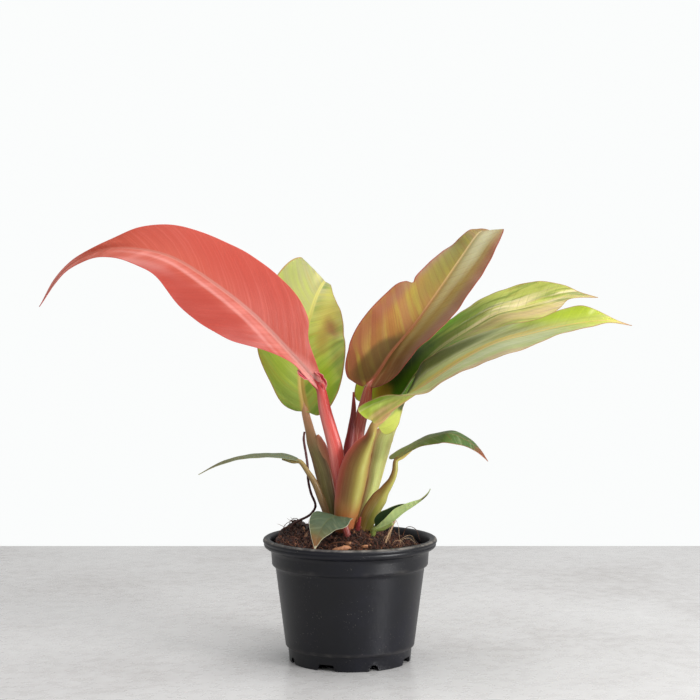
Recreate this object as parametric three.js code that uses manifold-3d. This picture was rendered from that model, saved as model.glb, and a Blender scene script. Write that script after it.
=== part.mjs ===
// A young philodendron with coral, lime, bronze and variegated leaves, in a black nursery pot.
// Units are millimetres and +Z is up. The origin is the middle of the pot's foot, and -Y is the
// side that the plant is best seen from.

import * as THREE from 'three';
import { mergeVertices } from 'three/addons/utils/BufferGeometryUtils.js';
import Module from 'manifold-3d';

const wasm = await Module();
wasm.setup();

// Driving sizes

const SEAT_GAP = 0.45;              // free space kept between touching pieces
const POT_SEGMENTS = 40;

const POT = {
  lipRadius: 60,
  mouthRadius: 55.6,
  height: 84,
  lipDepth: 8,
  bandRadius: 54.6,
  bandFoot: 67.2,
  bodyTopRadius: 51.4,
  bodyTop: 64,
  bodyFootRadius: 44.5,
  bodyFoot: 12,
  footRadius: 41.8,
  footHeight: 8.8,
  wall: 1.6,
  padRadius: 30,                    // flat middle of the floor, level with the foot
  channelHeight: 4.4,               // the floor is raised by this between the pad and the foot ring
};

const DRAIN = {
  spacing: Math.PI / 4,
  wideAngle: THREE.MathUtils.degToRad(-22.5),
  wideFoot: 13,
  wideTop: 10,
  narrowRadius: 3.2,
  height: 4.4,
  innerRadius: 35,
};

const SOIL = {
  level: 81,
  crownRise: 12,
  crownSpread: 20,
  heapRise: 9,                      // heaped against the lip at the back left
  heapSpread: 17,
  heapAt: [-38, 26],
  dipDepth: 5,                      // sunk below the lip on the right
  dipSpread: 22,
  dipAt: [42, 8],
  crumb: 0.7,
  chips: 16,
  chipReach: 45,
  chipSeed: 11,
};

const STEM = { top: 89, foot: 46, radius: 12, footRadius: 8, at: [1, -3] };

const BLADE_THICKNESS = 0.8;
const RIB_THICKNESS = 2.4;          // extra depth of the midrib under the blade's base
const MARGIN_LIFT = 0.5;            // least half width, at the notch and at the tip

// Leaf blades. rib is the midrib from the stalk to the tip. faces are the directions that the
// upper side looks in, at the base, the middle and the tip. left and right are the margins of the
// flat blade as [length along the midrib, width]. rise is the angle of each half above flat,
// spread evenly from base to tip, and roll is how much more each half turns up towards its margin.

const BLADES = {
  coral_blade: {
    colour: '#d8584b',
    rib: [
      [-20, -14, 188], [-37, -22, 208], [-64, -31, 237], [-91, -38, 259], [-118, -43, 276],
      [-144, -46, 282], [-167, -46, 280], [-189, -44, 268], [-207, -38, 244],
    ],
    faces: [[-0.1, -0.8, 0.55], [-0.1, -0.78, 0.6], [-0.5, -0.55, 0.6]],
    left: [
      [0, 3], [8, 4], [16, 4], [29, 5], [49, 13], [72, 26], [97, 30],
      [122, 27], [155, 19], [178, 11], [202, 4], [224, 2], [243, 0],
    ],
    right: [
      [0, 4], [8, 6], [16, 9], [31, 16], [42, 26], [62, 32], [90, 33],
      [119, 29], [141, 23], [160, 15], [182, 5], [205, 2], [243, 0],
    ],
    rise: { left: [20, 10, 5, 15, 20], right: [20, 10, 8, 15, 20] },
    roll: -8,
    rows: 20,
  },
  lime_blade: {
    colour: '#8f9f34',
    rib: [
      [-31, 10, 170], [-34, 11, 188], [-34, 14, 205], [-32, 20, 223], [-28, 28, 237],
      [-24, 40, 250], [-19, 56, 260], [-17, 74, 264], [-21, 100, 256],
    ],
    faces: [[0, -1, 0], [0, -0.95, 0.3], [0.1, -0.2, 0.95]],
    left: [
      [0, 2], [2, 8], [8, 15], [20, 21], [39, 31], [59, 33],
      [80, 32], [102, 26], [125, 16], [145, 6], [156, 0],
    ],
    right: [
      [0, 2], [-3, 5], [-4, 10], [2, 20], [16, 28], [43, 31],
      [69, 28], [95, 22], [120, 14], [142, 6], [156, 0],
    ],
    rise: { left: [15, 12, 15, 35, 35], right: [15, 12, -5, -40, -50] },
    roll: -8,
    rows: 18,
  },
  bronze_blade: {
    colour: '#a8743f',
    rib: [
      [13, 2, 188], [21, 2, 199], [29, 4, 211], [45, 9, 230], [61, 17, 252],
      [78, 28, 276], [91, 40, 294], [99, 52, 300], [110, 64, 299],
    ],
    faces: [[0, -0.95, 0.3], [0, -0.9, 0.4], [-0.3, -0.6, 0.7]],
    left: [
      [0, 2], [-3, 4], [-4, 11], [-3, 17], [6, 24], [27, 30], [47, 31], [68, 28], [76, 25],
      [79, 19], [86, 23], [104, 22], [128, 18], [148, 11], [171, 0],
    ],
    right: [
      [0, 2], [1, 5], [8, 13], [14, 18], [24, 23], [37, 25], [50, 31], [66, 33], [84, 31],
      [96, 30], [108, 28], [125, 25], [141, 21], [156, 12], [171, 0],
    ],
    rise: { left: [10, 12, 8, -25, -30], right: [45, 62, 50, 25, 10] },
    roll: -8,
    rows: 22,
  },
  variegated_blade: {
    colour: '#8aa044',
    rib: [
      [36, 16, 179], [46, 18, 195], [57, 20, 207], [68, 23, 216], [86, 28, 227],
      [104, 33, 237], [122, 38, 241], [140, 42, 246], [158, 45, 250], [178, 46, 249],
    ],
    faces: [[-0.2, -0.8, 0.6], [0, -0.5, 0.85], [0.1, -0.5, 0.85]],
    left: [
      [0, 3], [-8, 8], [-15, 18], [-17, 28], [-6, 34], [14, 35], [38, 30], [63, 24],
      [84, 26], [107, 27], [122, 25], [136, 20], [147, 12], [157, 4], [170, 0],
    ],
    right: [
      [0, 3], [-4, 8], [-6, 15], [2, 19], [16, 22], [36, 26], [64, 28], [78, 28],
      [90, 27], [104, 25], [115, 23], [125, 20], [137, 12], [150, 3], [170, 0],
    ],
    rise: { left: [15, -12, -5, 12, 25], right: [70, 50, 20, 10, 10] },
    roll: -8,
    rows: 20,
  },
  silver_blade: {
    colour: '#93a06a',
    rib: [
      [17, -20, 165], [31, -25, 177], [54, -31, 193], [76, -36, 208], [97, -40, 219],
      [119, -43, 225], [139, -45, 230], [156, -46, 233], [171, -46, 234], [187, -45, 231],
    ],
    faces: [[-0.3, -0.6, 0.7], [-0.1, -0.38, 0.92], [0, -0.4, 0.9]],
    left: [
      [0, 3], [-3, 9], [-5, 21], [4, 24], [16, 22], [38, 24], [56, 26], [71, 29],
      [89, 27], [112, 18], [129, 13], [146, 15], [160, 14], [177, 3], [191, 0],
    ],
    right: [
      [0, 3], [-2, 8], [0, 18], [12, 21], [26, 26], [40, 26], [58, 24], [73, 24],
      [86, 25], [108, 26], [131, 16], [150, 10], [167, 6], [179, 2], [191, 0],
    ],
    rise: { left: [-70, 5, 0, 25, 45], right: [95, 25, 8, 8, 5] },
    roll: -8,
    rows: 22,
  },
  small_right_blade: {
    colour: '#5d7350',
    rib: [
      [32, -8, 139], [40, -10, 147], [49, -13, 153], [60, -16, 156],
      [69, -19, 156], [79, -21, 152], [87, -23, 146], [93, -24, 139],
    ],
    faces: [[-0.5, -0.4, 0.8], [0, -0.5, 0.9], [0.5, -0.4, 0.7]],
    left: [
      [0, 2], [-5, 6], [-5, 12], [2, 11], [14, 8], [28, 10],
      [38, 12], [48, 9], [58, 7], [67, 3], [75, 0],
    ],
    right: [
      [0, 2], [3, 3], [7, 5], [12, 7], [20, 9], [31, 11],
      [42, 12], [52, 9], [62, 5], [70, 2], [75, 0],
    ],
    rise: { left: [0, -15, -20, -15, 0], right: [10, 15, 5, 0, 10] },
    roll: -5,
    rows: 12,
    small: true,
  },
  small_low_blade: {
    colour: '#6f8f3f',
    rib: [
      [18, -14, 92], [28, -18, 97], [36, -22, 104], [43, -25, 109],
      [48, -28, 113], [52, -30, 117], [54, -31, 121],
    ],
    faces: [[-0.4, -0.3, 0.85], [-0.4, -0.3, 0.85], [-0.4, -0.3, 0.85]],
    left: [[0, 2], [2, 7], [8, 9], [17, 8], [24, 6], [30, 3], [37, 1], [50, 0]],
    right: [[0, 2], [5, 4], [12, 6], [20, 7], [28, 6], [34, 4], [39, 1], [50, 0]],
    rise: { left: [50, 50, 50, 50, 50], right: [60, 60, 60, 60, 60] },
    roll: -8,
    rows: 10,
    small: true,
  },
  small_left_blade: {
    colour: '#5e7040',
    rib: [
      [-35, -4, 137], [-45, -6, 140], [-60, -9, 141],
      [-75, -12, 140], [-89, -15, 136], [-103, -18, 129],
    ],
    faces: [[0.2, -0.1, 1], [0, 0, 1], [-0.3, -0.1, 0.95]],
    left: [[0, 2], [3, 6], [10, 10], [22, 11], [34, 9], [46, 6], [58, 3], [72, 0]],
    right: [[0, 2], [1, 6], [8, 9], [20, 9], [32, 8], [46, 5], [58, 3], [72, 0]],
    rise: { left: [5, 5, 0, -5, 5], right: [5, 5, 5, 5, 5] },
    roll: -5,
    rows: 10,
    small: true,
  },
  small_front_blade: {
    colour: '#64795a',
    rib: [
      [-5, -18, 97.5], [-8, -22, 101], [-12.5, -27, 101],
      [-17, -33, 97.8], [-20.5, -39, 92], [-22.6, -44.5, 85.4],
    ],
    faces: [[0, 0.1, 1], [-0.1, -0.6, 0.8], [-0.2, -0.95, 0.3]],
    left: [[0, 3], [4, 11], [12, 15], [19, 14], [24, 10], [29, 7], [35, 3], [43, 0]],
    right: [[0, 3], [2, 11], [10, 14], [20, 12], [26, 9], [31, 6], [37, 3], [43, 0]],
    rise: { left: [5, 5, 5, 5, 5], right: [5, 5, 5, 5, 5] },
    roll: -8,
    rows: 10,
    small: true,
  },
};

// Stalks and other limbs, from the top down into the crown, as [x, y, z, width]. deep is the
// thickness from front to back, and bow is how far the edges of an open sheath turn back.
// Each is cut clear of the ones before it, as the sheaths press on each other in the crown.

const LIMBS = {
  silver_petiole: {
    colour: '#a08a3c',
    deep: 5.6,
    bow: 3,
    path: [
      [16.7, -19.6, 163, 5.6], [13.6, -19.5, 154.7, 7.5], [8.5, -19, 146.5, 14], [5.1, -18.5, 139, 18],
      [2.4, -18, 130, 20], [0.3, -17, 120, 20], [-1.4, -16, 109.5, 18.5],
      [-2.7, -15, 99.8, 16.5], [-3.4, -12, 86, 13], [-2, -9, 77, 9],
    ],
  },
  coral_petiole: {
    colour: '#cf5b52',
    deep: 6.4,
    bow: 0,
    path: [
      [-19.9, -13.6, 186.8, 6.6], [-17.1, -11, 172.4, 8.6], [-13.4, -9, 158.6, 9.4],
      [-10.3, -8, 146.8, 10.3], [-8.2, -7, 134.4, 10.3], [-6.2, -6, 120.5, 9.6],
      [-4.8, -5, 106.7, 8.9], [-4, -4, 89.3, 8.3], [-3, -3, 79, 6],
    ],
  },
  small_right_petiole: {
    colour: '#9a8c34',
    deep: 4.4,
    bow: 1,
    path: [
      [31.6, -8, 137.6, 3.4], [30.7, -8, 130.4, 4.1], [28.5, -8, 124.2, 4.8], [24, -8.5, 117.4, 7],
      [19.9, -9, 111.3, 11], [15.8, -9, 105, 11.6], [12.7, -9, 99, 11.6], [9.3, -8, 89, 10],
      [6, -6, 79, 6],
    ],
  },
  small_left_petiole: {
    colour: '#97914a',
    deep: 3.6,
    bow: 0,
    path: [
      [-34.2, -4, 136.2, 3.2], [-29, -4, 129.2, 3.6], [-24.1, -4, 121.2, 4.5],
      [-19.6, -4, 110.2, 5.2], [-15.8, -4, 99.6, 4.8], [-13, -3, 87.8, 4.6], [-9, -2, 79, 4],
    ],
  },
  small_low_petiole: {
    colour: '#7f9a45',
    deep: 3.4,
    bow: 0,
    path: [[17, -13.5, 91.3, 3.8], [15.5, -12, 88, 4], [12.6, -8, 82, 4], [9.5, -5, 78, 4]],
  },
  small_front_petiole: {
    colour: '#8f8d4a',
    deep: 3,
    bow: 0,
    path: [[-4.6, -18.6, 96.6, 4.4], [-3, -18.6, 92, 4.8], [-1, -17.5, 85, 4.8], [0, -14, 78, 4]],
  },
  cataphyll: {
    colour: '#5c1a22',
    deep: 1.8,
    bow: 0.8,
    path: [
      [2.4, 0, 184, 1.2], [2.5, 1, 171.5, 3.5], [1, 1.6, 157.6, 5.5], [-1, 1.6, 145.2, 6.9],
      [-2.1, 1.4, 131.3, 6.9], [-2.4, 1, 112, 6.2], [-1, 0.6, 94, 5.4], [0, 0, 80, 4],
    ],
  },
  bronze_petiole: {
    colour: '#8e4034',
    deep: 6,
    bow: 0,
    path: [
      [12.8, 2.1, 186.6, 6], [10.7, 3, 176.2, 8.3], [7.3, 4.4, 164.4, 8.7], [5.2, 5.6, 152.5, 8.7],
      [3.5, 6.2, 139.9, 8.3], [1.7, 6.4, 122.5, 8.3], [0.7, 6, 105.2, 8.3], [0, 4.6, 90, 7.6],
      [0.5, 2, 79, 6],
    ],
  },
  lime_petiole: {
    colour: '#8a6a3a',
    deep: 5,
    bow: -1.5,
    path: [
      [-30.8, 9.8, 168, 5.4], [-28, 9, 157, 6.4], [-25.7, 8, 148, 8.3], [-22.6, 7, 139.8, 9.4],
      [-19.1, 6, 129.5, 11], [-16.6, 5, 119.2, 11], [-14.2, 4, 108.9, 9.7],
      [-11.8, 3, 98.7, 8.3], [-9.5, 2, 88.4, 7], [-6.5, 1, 79, 5],
    ],
  },
  variegated_petiole: {
    colour: '#8f9a4c',
    deep: 5.4,
    bow: -1,
    path: [
      [35.3, 15.7, 177, 5.6], [33.2, 15, 169.1, 6.3], [29.7, 14, 160.7, 7.2], [25.5, 13, 151.7, 11.7],
      [22.8, 12, 142.8, 12], [19.9, 11, 132.4, 10.8], [16, 10, 118.6, 9.1],
      [11.5, 8, 105.6, 8.3], [7.8, 5.4, 90, 7.6], [5, 2, 79, 5],
    ],
  },
  cataphyll_shred: {
    colour: '#b8393c',
    deep: 1.6,
    bow: 0.6,
    path: [[7.4, -15.5, 104, 1.2], [6.4, -15, 100, 2.8], [5.2, -14.2, 94, 3.6], [4, -12, 84, 3.4]],
  },
  aerial_root: {
    colour: '#4a2226',
    deep: 1.7,
    bow: 0,
    path: [
      [-31.6, 5, 156, 1.4], [-32, 3, 150.6, 1.7], [-30.3, 1, 140.4, 1.7], [-29.2, 0, 132.2, 1.7],
      [-28.9, 0, 123.3, 1.7], [-27, 2, 114, 1.7], [-24.2, 4, 106.8, 1.7], [-24.6, 6, 102.4, 1.7],
      [-28.5, 9, 97.5, 1.7], [-34.9, 12, 93.8, 1.7], [-39.8, 14, 90.6, 1.7], [-44, 15, 83, 1.7],
    ],
  },
  pale_root: {
    colour: '#b79a7a',
    deep: 1.2,
    bow: 0,
    path: [
      [26, 6, 78, 1.2], [29, 3, 90, 1.2], [31, -2, 96, 1.2], [29, -8, 92, 1.2],
      [26, -14, 87, 1.2], [24, -19, 82, 1.2], [22, -22, 74, 1.2],
    ],
  },
};

// Small helpers

const vector = ([x, y, z]) => new THREE.Vector3(x, y, z);

function blend(values, part) {
  const place = THREE.MathUtils.clamp(part, 0, 1) * (values.length - 1);
  const index = Math.min(Math.floor(place), values.length - 2);
  const step = place - index;
  const eased = (step * step * (3 - 2 * step) + step) / 2;
  return THREE.MathUtils.lerp(values[index], values[index + 1], eased);
}

function makeRandom(seed) {
  let state = seed;
  return () => {
    state = (state * 16807) % 2147483647;
    return state / 2147483647;
  };
}

function closedGeometry(points, triangles) {
  const geometry = new THREE.BufferGeometry();
  const positions = new Float32Array(points.length * 3);
  points.forEach((point, index) => point.toArray(positions, index * 3));
  geometry.setAttribute('position', new THREE.BufferAttribute(positions, 3));
  geometry.setIndex(triangles.flat());
  return geometry;
}

function toSolid(geometry) {
  const bare = geometry.clone();
  bare.deleteAttribute('normal');
  bare.deleteAttribute('uv');
  const merged = mergeVertices(bare, 1e-4);
  const corners = merged.index.array;
  const kept = [];
  for (let i = 0; i < corners.length; i += 3) {
    const [a, b, c] = [corners[i], corners[i + 1], corners[i + 2]];
    if (a !== b && b !== c && c !== a) kept.push(a, b, c);
  }
  const mesh = new wasm.Mesh({
    numProp: 3,
    vertProperties: Float32Array.from(merged.attributes.position.array),
    triVerts: Uint32Array.from(kept),
  });
  return new wasm.Manifold(mesh);
}

function largestBody(solid) {
  const bodies = solid.decompose();
  return bodies.reduce((best, body) => (body.volume() > best.volume() ? body : best));
}

function toGeometry(solid) {
  const mesh = solid.getMesh();
  const geometry = new THREE.BufferGeometry();
  geometry.setAttribute('position', new THREE.BufferAttribute(mesh.vertProperties, 3));
  geometry.setIndex(new THREE.BufferAttribute(mesh.triVerts, 1));
  return geometry;
}

// Pot

function potSolid() {
  const p = POT;
  const inner = p.bodyTopRadius - p.wall;
  const profile = [
    [0, 0], [p.padRadius, 0], [p.padRadius + 2, p.channelHeight],
    [p.footRadius - 2.2, p.channelHeight], [p.footRadius - 1.6, 0], [p.footRadius, 0],
    [p.footRadius + 0.7, p.footHeight], [p.bodyFootRadius - 0.2, p.footHeight + 1.8],
    [p.bodyFootRadius, p.bodyFoot], [p.bodyTopRadius, p.bodyTop],
    [p.bandRadius - 1.2, p.bandFoot - 1.6], [p.bandRadius - 0.8, p.bandFoot],
    [p.bandRadius, p.height - p.lipDepth - 0.5], [p.bandRadius + 1.6, p.height - p.lipDepth + 0.4],
    [p.lipRadius - 1.2, p.height - 5.4], [p.lipRadius, p.height - 2.6],
    [p.lipRadius - 0.8, p.height - 0.3], [p.lipRadius - 2.4, p.height],
    [p.mouthRadius, p.height - 0.4], [p.mouthRadius - 1, p.height - 2],
    [p.bandRadius - p.wall, p.height - p.lipDepth - 1], [p.bandRadius - 2.5, p.bandFoot],
    [inner, p.bodyTop], [p.bodyFootRadius - p.wall, p.bodyFoot],
    [p.footRadius - 1, p.channelHeight + 2], [p.padRadius + 1, p.channelHeight + 2],
    [p.padRadius - 1, 2], [0, 2],
  ];
  const lathe = new THREE.LatheGeometry(
    profile.map(([radius, height]) => new THREE.Vector2(radius, height)),
    POT_SEGMENTS,
  );
  lathe.rotateX(Math.PI / 2);
  let pot = toSolid(lathe);
  for (let k = 0; k < 4; k += 1) {
    const wide = DRAIN.wideAngle + 2 * k * DRAIN.spacing;
    pot = pot.subtract(drainCutter(wideDrain(), wide));
    pot = pot.subtract(drainCutter(narrowDrain(), wide + DRAIN.spacing));
  }
  return pot;
}

function wideDrain() {
  const shape = new THREE.Shape();
  shape.moveTo(-DRAIN.wideFoot / 2, -1);
  shape.lineTo(DRAIN.wideFoot / 2, -1);
  shape.lineTo(DRAIN.wideTop / 2, DRAIN.height);
  shape.lineTo(-DRAIN.wideTop / 2, DRAIN.height);
  return shape;
}

function narrowDrain() {
  const shape = new THREE.Shape();
  shape.moveTo(-DRAIN.narrowRadius, -1);
  shape.lineTo(DRAIN.narrowRadius, -1);
  shape.absarc(0, DRAIN.height - DRAIN.narrowRadius, DRAIN.narrowRadius, 0, Math.PI, false);
  return shape;
}

function drainCutter(shape, angle) {
  const length = POT.footRadius + 4 - DRAIN.innerRadius;
  const cutter = new THREE.ExtrudeGeometry(shape, { depth: length, bevelEnabled: false, curveSegments: 4 });
  cutter.rotateX(Math.PI / 2);
  cutter.translate(0, -DRAIN.innerRadius, 0);
  cutter.rotateZ(angle);
  return toSolid(cutter);
}

// Soil

function soilHeight(x, y) {
  const hill = (px, py, spread) => Math.exp(-((x - px) ** 2 + (y - py) ** 2) / spread ** 2);
  const crumb = Math.sin(0.41 * x + 1.3) * Math.cos(0.37 * y) + Math.sin(0.23 * (x + 1.7 * y));
  return SOIL.level
    + SOIL.crownRise * hill(STEM.at[0], STEM.at[1], SOIL.crownSpread)
    + SOIL.heapRise * hill(SOIL.heapAt[0], SOIL.heapAt[1], SOIL.heapSpread)
    - SOIL.dipDepth * hill(SOIL.dipAt[0], SOIL.dipAt[1], SOIL.dipSpread)
    + SOIL.crumb * crumb;
}

function soilSolid() {
  const clear = 0.5;
  const wallRadius = POT.bandRadius - 2.5 - clear;
  const sides = [
    [0, POT.channelHeight + 2 + clear],
    [POT.footRadius - 1 - clear, POT.channelHeight + 2 + clear],
    [POT.bodyTopRadius - POT.wall - clear - 0.4, POT.bodyTop - 1],
    [wallRadius, POT.bandFoot + 1],
  ];
  const rings = [1, 0.86, 0.72, 0.58, 0.44, 0.3, 0.14, 0];
  const topMark = 1000;
  const profile = [
    ...sides.map(([radius, height]) => new THREE.Vector2(radius, height)),
    ...rings.map((part) => new THREE.Vector2(wallRadius * part, topMark)),
  ];
  const lathe = new THREE.LatheGeometry(profile, POT_SEGMENTS);
  lathe.rotateX(Math.PI / 2);
  const place = lathe.attributes.position;
  for (let i = 0; i < place.count; i += 1) {
    if (place.getZ(i) > topMark / 2) place.setZ(i, soilHeight(place.getX(i), place.getY(i)));
  }
  let soil = toSolid(lathe);
  const random = makeRandom(SOIL.chipSeed);
  for (let k = 0; k < SOIL.chips; k += 1) {
    const angle = random() * 2 * Math.PI;
    const reach = SOIL.chipReach * Math.sqrt(0.15 + 0.85 * random());
    soil = soil.add(chip(reach * Math.cos(angle), reach * Math.sin(angle), 2.2 + 2.6 * random(), random));
  }
  return soil.add(chip(-6, -46, 6.5, random));
}

function chip(x, y, size, random) {
  const geometry = new THREE.IcosahedronGeometry(1, 0);
  geometry.scale(size, size * 0.62, size * 0.36);
  geometry.rotateX((random() - 0.5) * 0.9);
  geometry.rotateY((random() - 0.5) * 0.9);
  geometry.rotateZ(random() * Math.PI);
  geometry.translate(x, y, soilHeight(x, y) + size * 0.12);
  return toSolid(geometry);
}

// Stem

function stemSolid(grow = 0) {
  const { top, foot, radius, footRadius } = STEM;
  const profile = [
    [0, foot - grow], [footRadius + grow, foot - grow], [radius + grow, foot + 14],
    [radius + grow, top - 5], [radius - 3 + grow, top - 1.4 + grow], [0, top + grow],
  ];
  const lathe = new THREE.LatheGeometry(profile.map(([r, z]) => new THREE.Vector2(r, z)), 20);
  lathe.rotateX(Math.PI / 2);
  lathe.translate(STEM.at[0], STEM.at[1], 0);
  return toSolid(lathe);
}

// Leaf blades

class Rib {
  constructor({ rib, faces }) {
    this.curve = new THREE.CatmullRomCurve3(rib.map(vector), false, 'catmullrom', 0.5);
    this.curve.arcLengthDivisions = 400;
    this.length = this.curve.getLength();
    this.faces = faces;
  }

  frame(length) {
    const part = THREE.MathUtils.clamp(length / this.length, 0, 1);
    const ahead = this.curve.getTangentAt(part);
    const point = this.curve.getPointAt(part).addScaledVector(ahead, length - part * this.length);
    const face = new THREE.Vector3(
      blend(this.faces.map((f) => f[0]), part),
      blend(this.faces.map((f) => f[1]), part),
      blend(this.faces.map((f) => f[2]), part),
    );
    const up = face.addScaledVector(ahead, -face.dot(ahead)).normalize();
    const left = new THREE.Vector3().crossVectors(up, ahead);
    return { point, up, left };
  }
}

// A point of a blade half: width runs along an arc that starts at the rise and turns by the roll.
function bladePoint(rib, length, width, side, rise, roll, reach) {
  const { point, up, left } = rib.frame(length);
  const start = THREE.MathUtils.degToRad(blend(rise, length / rib.length));
  const turn = THREE.MathUtils.degToRad(roll);
  const end = start + turn * (width / reach);
  const radius = reach / turn;
  const across = radius * (Math.sin(end) - Math.sin(start));
  const lift = radius * (Math.cos(start) - Math.cos(end));
  return point.addScaledVector(left, side * across).addScaledVector(up, lift);
}

function marginCurve(points) {
  const spots = points.map(([length, width]) => new THREE.Vector3(length, width, 0));
  return new THREE.CatmullRomCurve3(spots, false, 'catmullrom', 0.5);
}

function bladeGrid(leaf) {
  const rib = new Rib(leaf);
  const stations = leaf.small ? [0.14, 0.55, 1] : [0.1, 0.38, 0.7, 1];
  const curves = { left: marginCurve(leaf.left), right: marginCurve(leaf.right) };
  const reach = Math.max(...leaf.left.map(([, width]) => width), ...leaf.right.map(([, width]) => width));
  const grid = [];
  let ribLength = 0;
  for (let row = 0; row <= leaf.rows; row += 1) {
    const edge = {
      left: curves.left.getPoint(row / leaf.rows),
      right: curves.right.getPoint(row / leaf.rows),
    };
    const middle = (edge.left.x + edge.right.x) / 2;
    if (row > 0) ribLength = Math.max(ribLength + 0.5, middle);
    ribLength = row === leaf.rows ? rib.length : Math.min(ribLength, rib.length - 0.5);
    const half = (name, side) => stations.map((part) => {
      const length = THREE.MathUtils.lerp(ribLength, edge[name].x, part);
      const width = Math.max(edge[name].y, MARGIN_LIFT) * part;
      return bladePoint(rib, length, width, side, leaf.rise[name], leaf.roll, reach);
    });
    grid.push([...half('right', -1).reverse(), rib.frame(ribLength).point, ...half('left', 1)]);
  }
  return grid;
}

function bladeSolid(leaf, grow = 0) {
  const grid = bladeGrid(leaf);
  const rows = grid.length;
  const columns = grid[0].length;
  const centre = (columns - 1) / 2;
  const upper = [];
  const lower = [];
  for (let i = 0; i < rows; i += 1) {
    for (let j = 0; j < columns; j += 1) {
      const ahead = grid[Math.min(i + 1, rows - 1)][j].clone().sub(grid[Math.max(i - 1, 0)][j]);
      const across = grid[i][Math.min(j + 1, columns - 1)].clone().sub(grid[i][Math.max(j - 1, 0)]);
      const normal = ahead.cross(across).normalize();
      const keel = j === centre ? RIB_THICKNESS * (leaf.small ? 0.4 : 1) * (1 - i / rows) : 0;
      upper.push(grid[i][j].clone().addScaledVector(normal, BLADE_THICKNESS / 2 + grow));
      lower.push(grid[i][j].clone().addScaledVector(normal, -BLADE_THICKNESS / 2 - grow - keel));
    }
  }
  const top = (i, j) => i * columns + j;
  const bottom = (i, j) => rows * columns + i * columns + j;
  const rim = [];
  for (let i = 0; i < rows - 1; i += 1) rim.push([i, 0]);
  for (let j = 0; j < columns - 1; j += 1) rim.push([rows - 1, j]);
  for (let i = rows - 1; i > 0; i -= 1) rim.push([i, columns - 1]);
  for (let j = columns - 1; j > 0; j -= 1) rim.push([0, j]);
  const around = (index) => rim[(index + rim.length) % rim.length];
  rim.forEach(([i, j], index) => {
    const [before, after] = [around(index - 1), around(index + 1)];
    const along = grid[after[0]][after[1]].clone().sub(grid[before[0]][before[1]]);
    const face = upper[top(i, j)].clone().sub(lower[top(i, j)]);
    const outward = along.cross(face).setLength(grow);
    upper[top(i, j)].add(outward);
    lower[top(i, j)].add(outward);
  });
  const triangles = [];
  for (let i = 0; i < rows - 1; i += 1) {
    for (let j = 0; j < columns - 1; j += 1) {
      triangles.push([top(i, j), top(i + 1, j), top(i + 1, j + 1)]);
      triangles.push([top(i, j), top(i + 1, j + 1), top(i, j + 1)]);
      triangles.push([bottom(i, j), bottom(i + 1, j + 1), bottom(i + 1, j)]);
      triangles.push([bottom(i, j), bottom(i, j + 1), bottom(i + 1, j + 1)]);
    }
  }
  rim.forEach(([i, j], index) => {
    const [k, l] = around(index + 1);
    triangles.push([top(k, l), top(i, j), bottom(i, j)]);
    triangles.push([top(k, l), bottom(i, j), bottom(k, l)]);
  });
  return toSolid(closedGeometry([...upper, ...lower], triangles));
}

// Stalks, sheaths and roots

function limbSolid(limb, grow = 0) {
  const curve = new THREE.CatmullRomCurve3(limb.path.map(vector), false, 'catmullrom', 0.5);
  const widths = limb.path.map((station) => station[3]);
  const slim = limb.deep < 2;
  const sides = slim ? 6 : 10;
  const steps = limb.path.length * (slim ? 2 : 1) + 2;
  const front = new THREE.Vector3(0, -1, 0);
  const points = [];
  const addRing = (part, shift) => {
    const ahead = curve.getTangent(part);
    const centre = curve.getPoint(part).addScaledVector(ahead, shift);
    const wide = new THREE.Vector3().crossVectors(ahead, front).normalize();
    const thin = new THREE.Vector3().crossVectors(wide, ahead).normalize();
    const width = blend(widths, part);
    const open = Math.min(1, Math.max(0, (width - limb.deep) / limb.deep));
    const deep = Math.min(limb.deep, width);
    for (let k = 0; k < sides; k += 1) {
      const angle = (2 * Math.PI * k) / sides;
      const across = (width / 2 + grow) * Math.cos(angle);
      const depth = (deep / 2 + grow) * Math.sin(angle) - limb.bow * open * Math.cos(angle) ** 2;
      points.push(centre.clone().addScaledVector(wide, across).addScaledVector(thin, depth));
    }
  };
  for (let step = 0; step <= steps; step += 1) {
    const shift = step === 0 ? -grow : step === steps ? grow : 0;
    addRing(step / steps, shift);
  }
  const first = points.length;
  points.push(curve.getPoint(0).addScaledVector(curve.getTangent(0), -grow));
  points.push(curve.getPoint(1).addScaledVector(curve.getTangent(1), grow));
  const triangles = [];
  const at = (step, k) => step * sides + (k % sides);
  for (let step = 0; step < steps; step += 1) {
    for (let k = 0; k < sides; k += 1) {
      triangles.push([at(step, k), at(step + 1, k + 1), at(step, k + 1)]);
      triangles.push([at(step, k), at(step + 1, k), at(step + 1, k + 1)]);
    }
  }
  for (let k = 0; k < sides; k += 1) {
    triangles.push([first, at(0, k), at(0, k + 1)]);
    triangles.push([first + 1, at(steps, k + 1), at(steps, k)]);
  }
  return toSolid(closedGeometry(points, triangles));
}

// The plant and its pot put together

const plant = new THREE.Group();

function addPiece(name, solid, colour, roughness) {
  const material = new THREE.MeshStandardMaterial({ color: colour, roughness, metalness: 0 });
  const mesh = new THREE.Mesh(toGeometry(solid), material);
  mesh.name = name;
  plant.add(mesh);
}

addPiece('pot', potSolid(), '#1d1e20', 0.45);

const grownBlades = [];
for (const [name, leaf] of Object.entries(BLADES)) {
  addPiece(name, bladeSolid(leaf), leaf.colour, 0.4);
  grownBlades.push(bladeSolid(leaf, SEAT_GAP));
}

const grownLimbs = [];
for (const [name, limb] of Object.entries(LIMBS)) {
  let solid = limbSolid(limb);
  for (const near of [...grownLimbs, ...grownBlades]) solid = solid.subtract(near);
  addPiece(name, largestBody(solid), limb.colour, 0.45);
  grownLimbs.push(limbSolid(limb, SEAT_GAP));
}

let stem = stemSolid();
for (const limb of grownLimbs) stem = stem.subtract(limb);
addPiece('stem', largestBody(stem), '#6d5a3a', 0.7);

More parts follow.
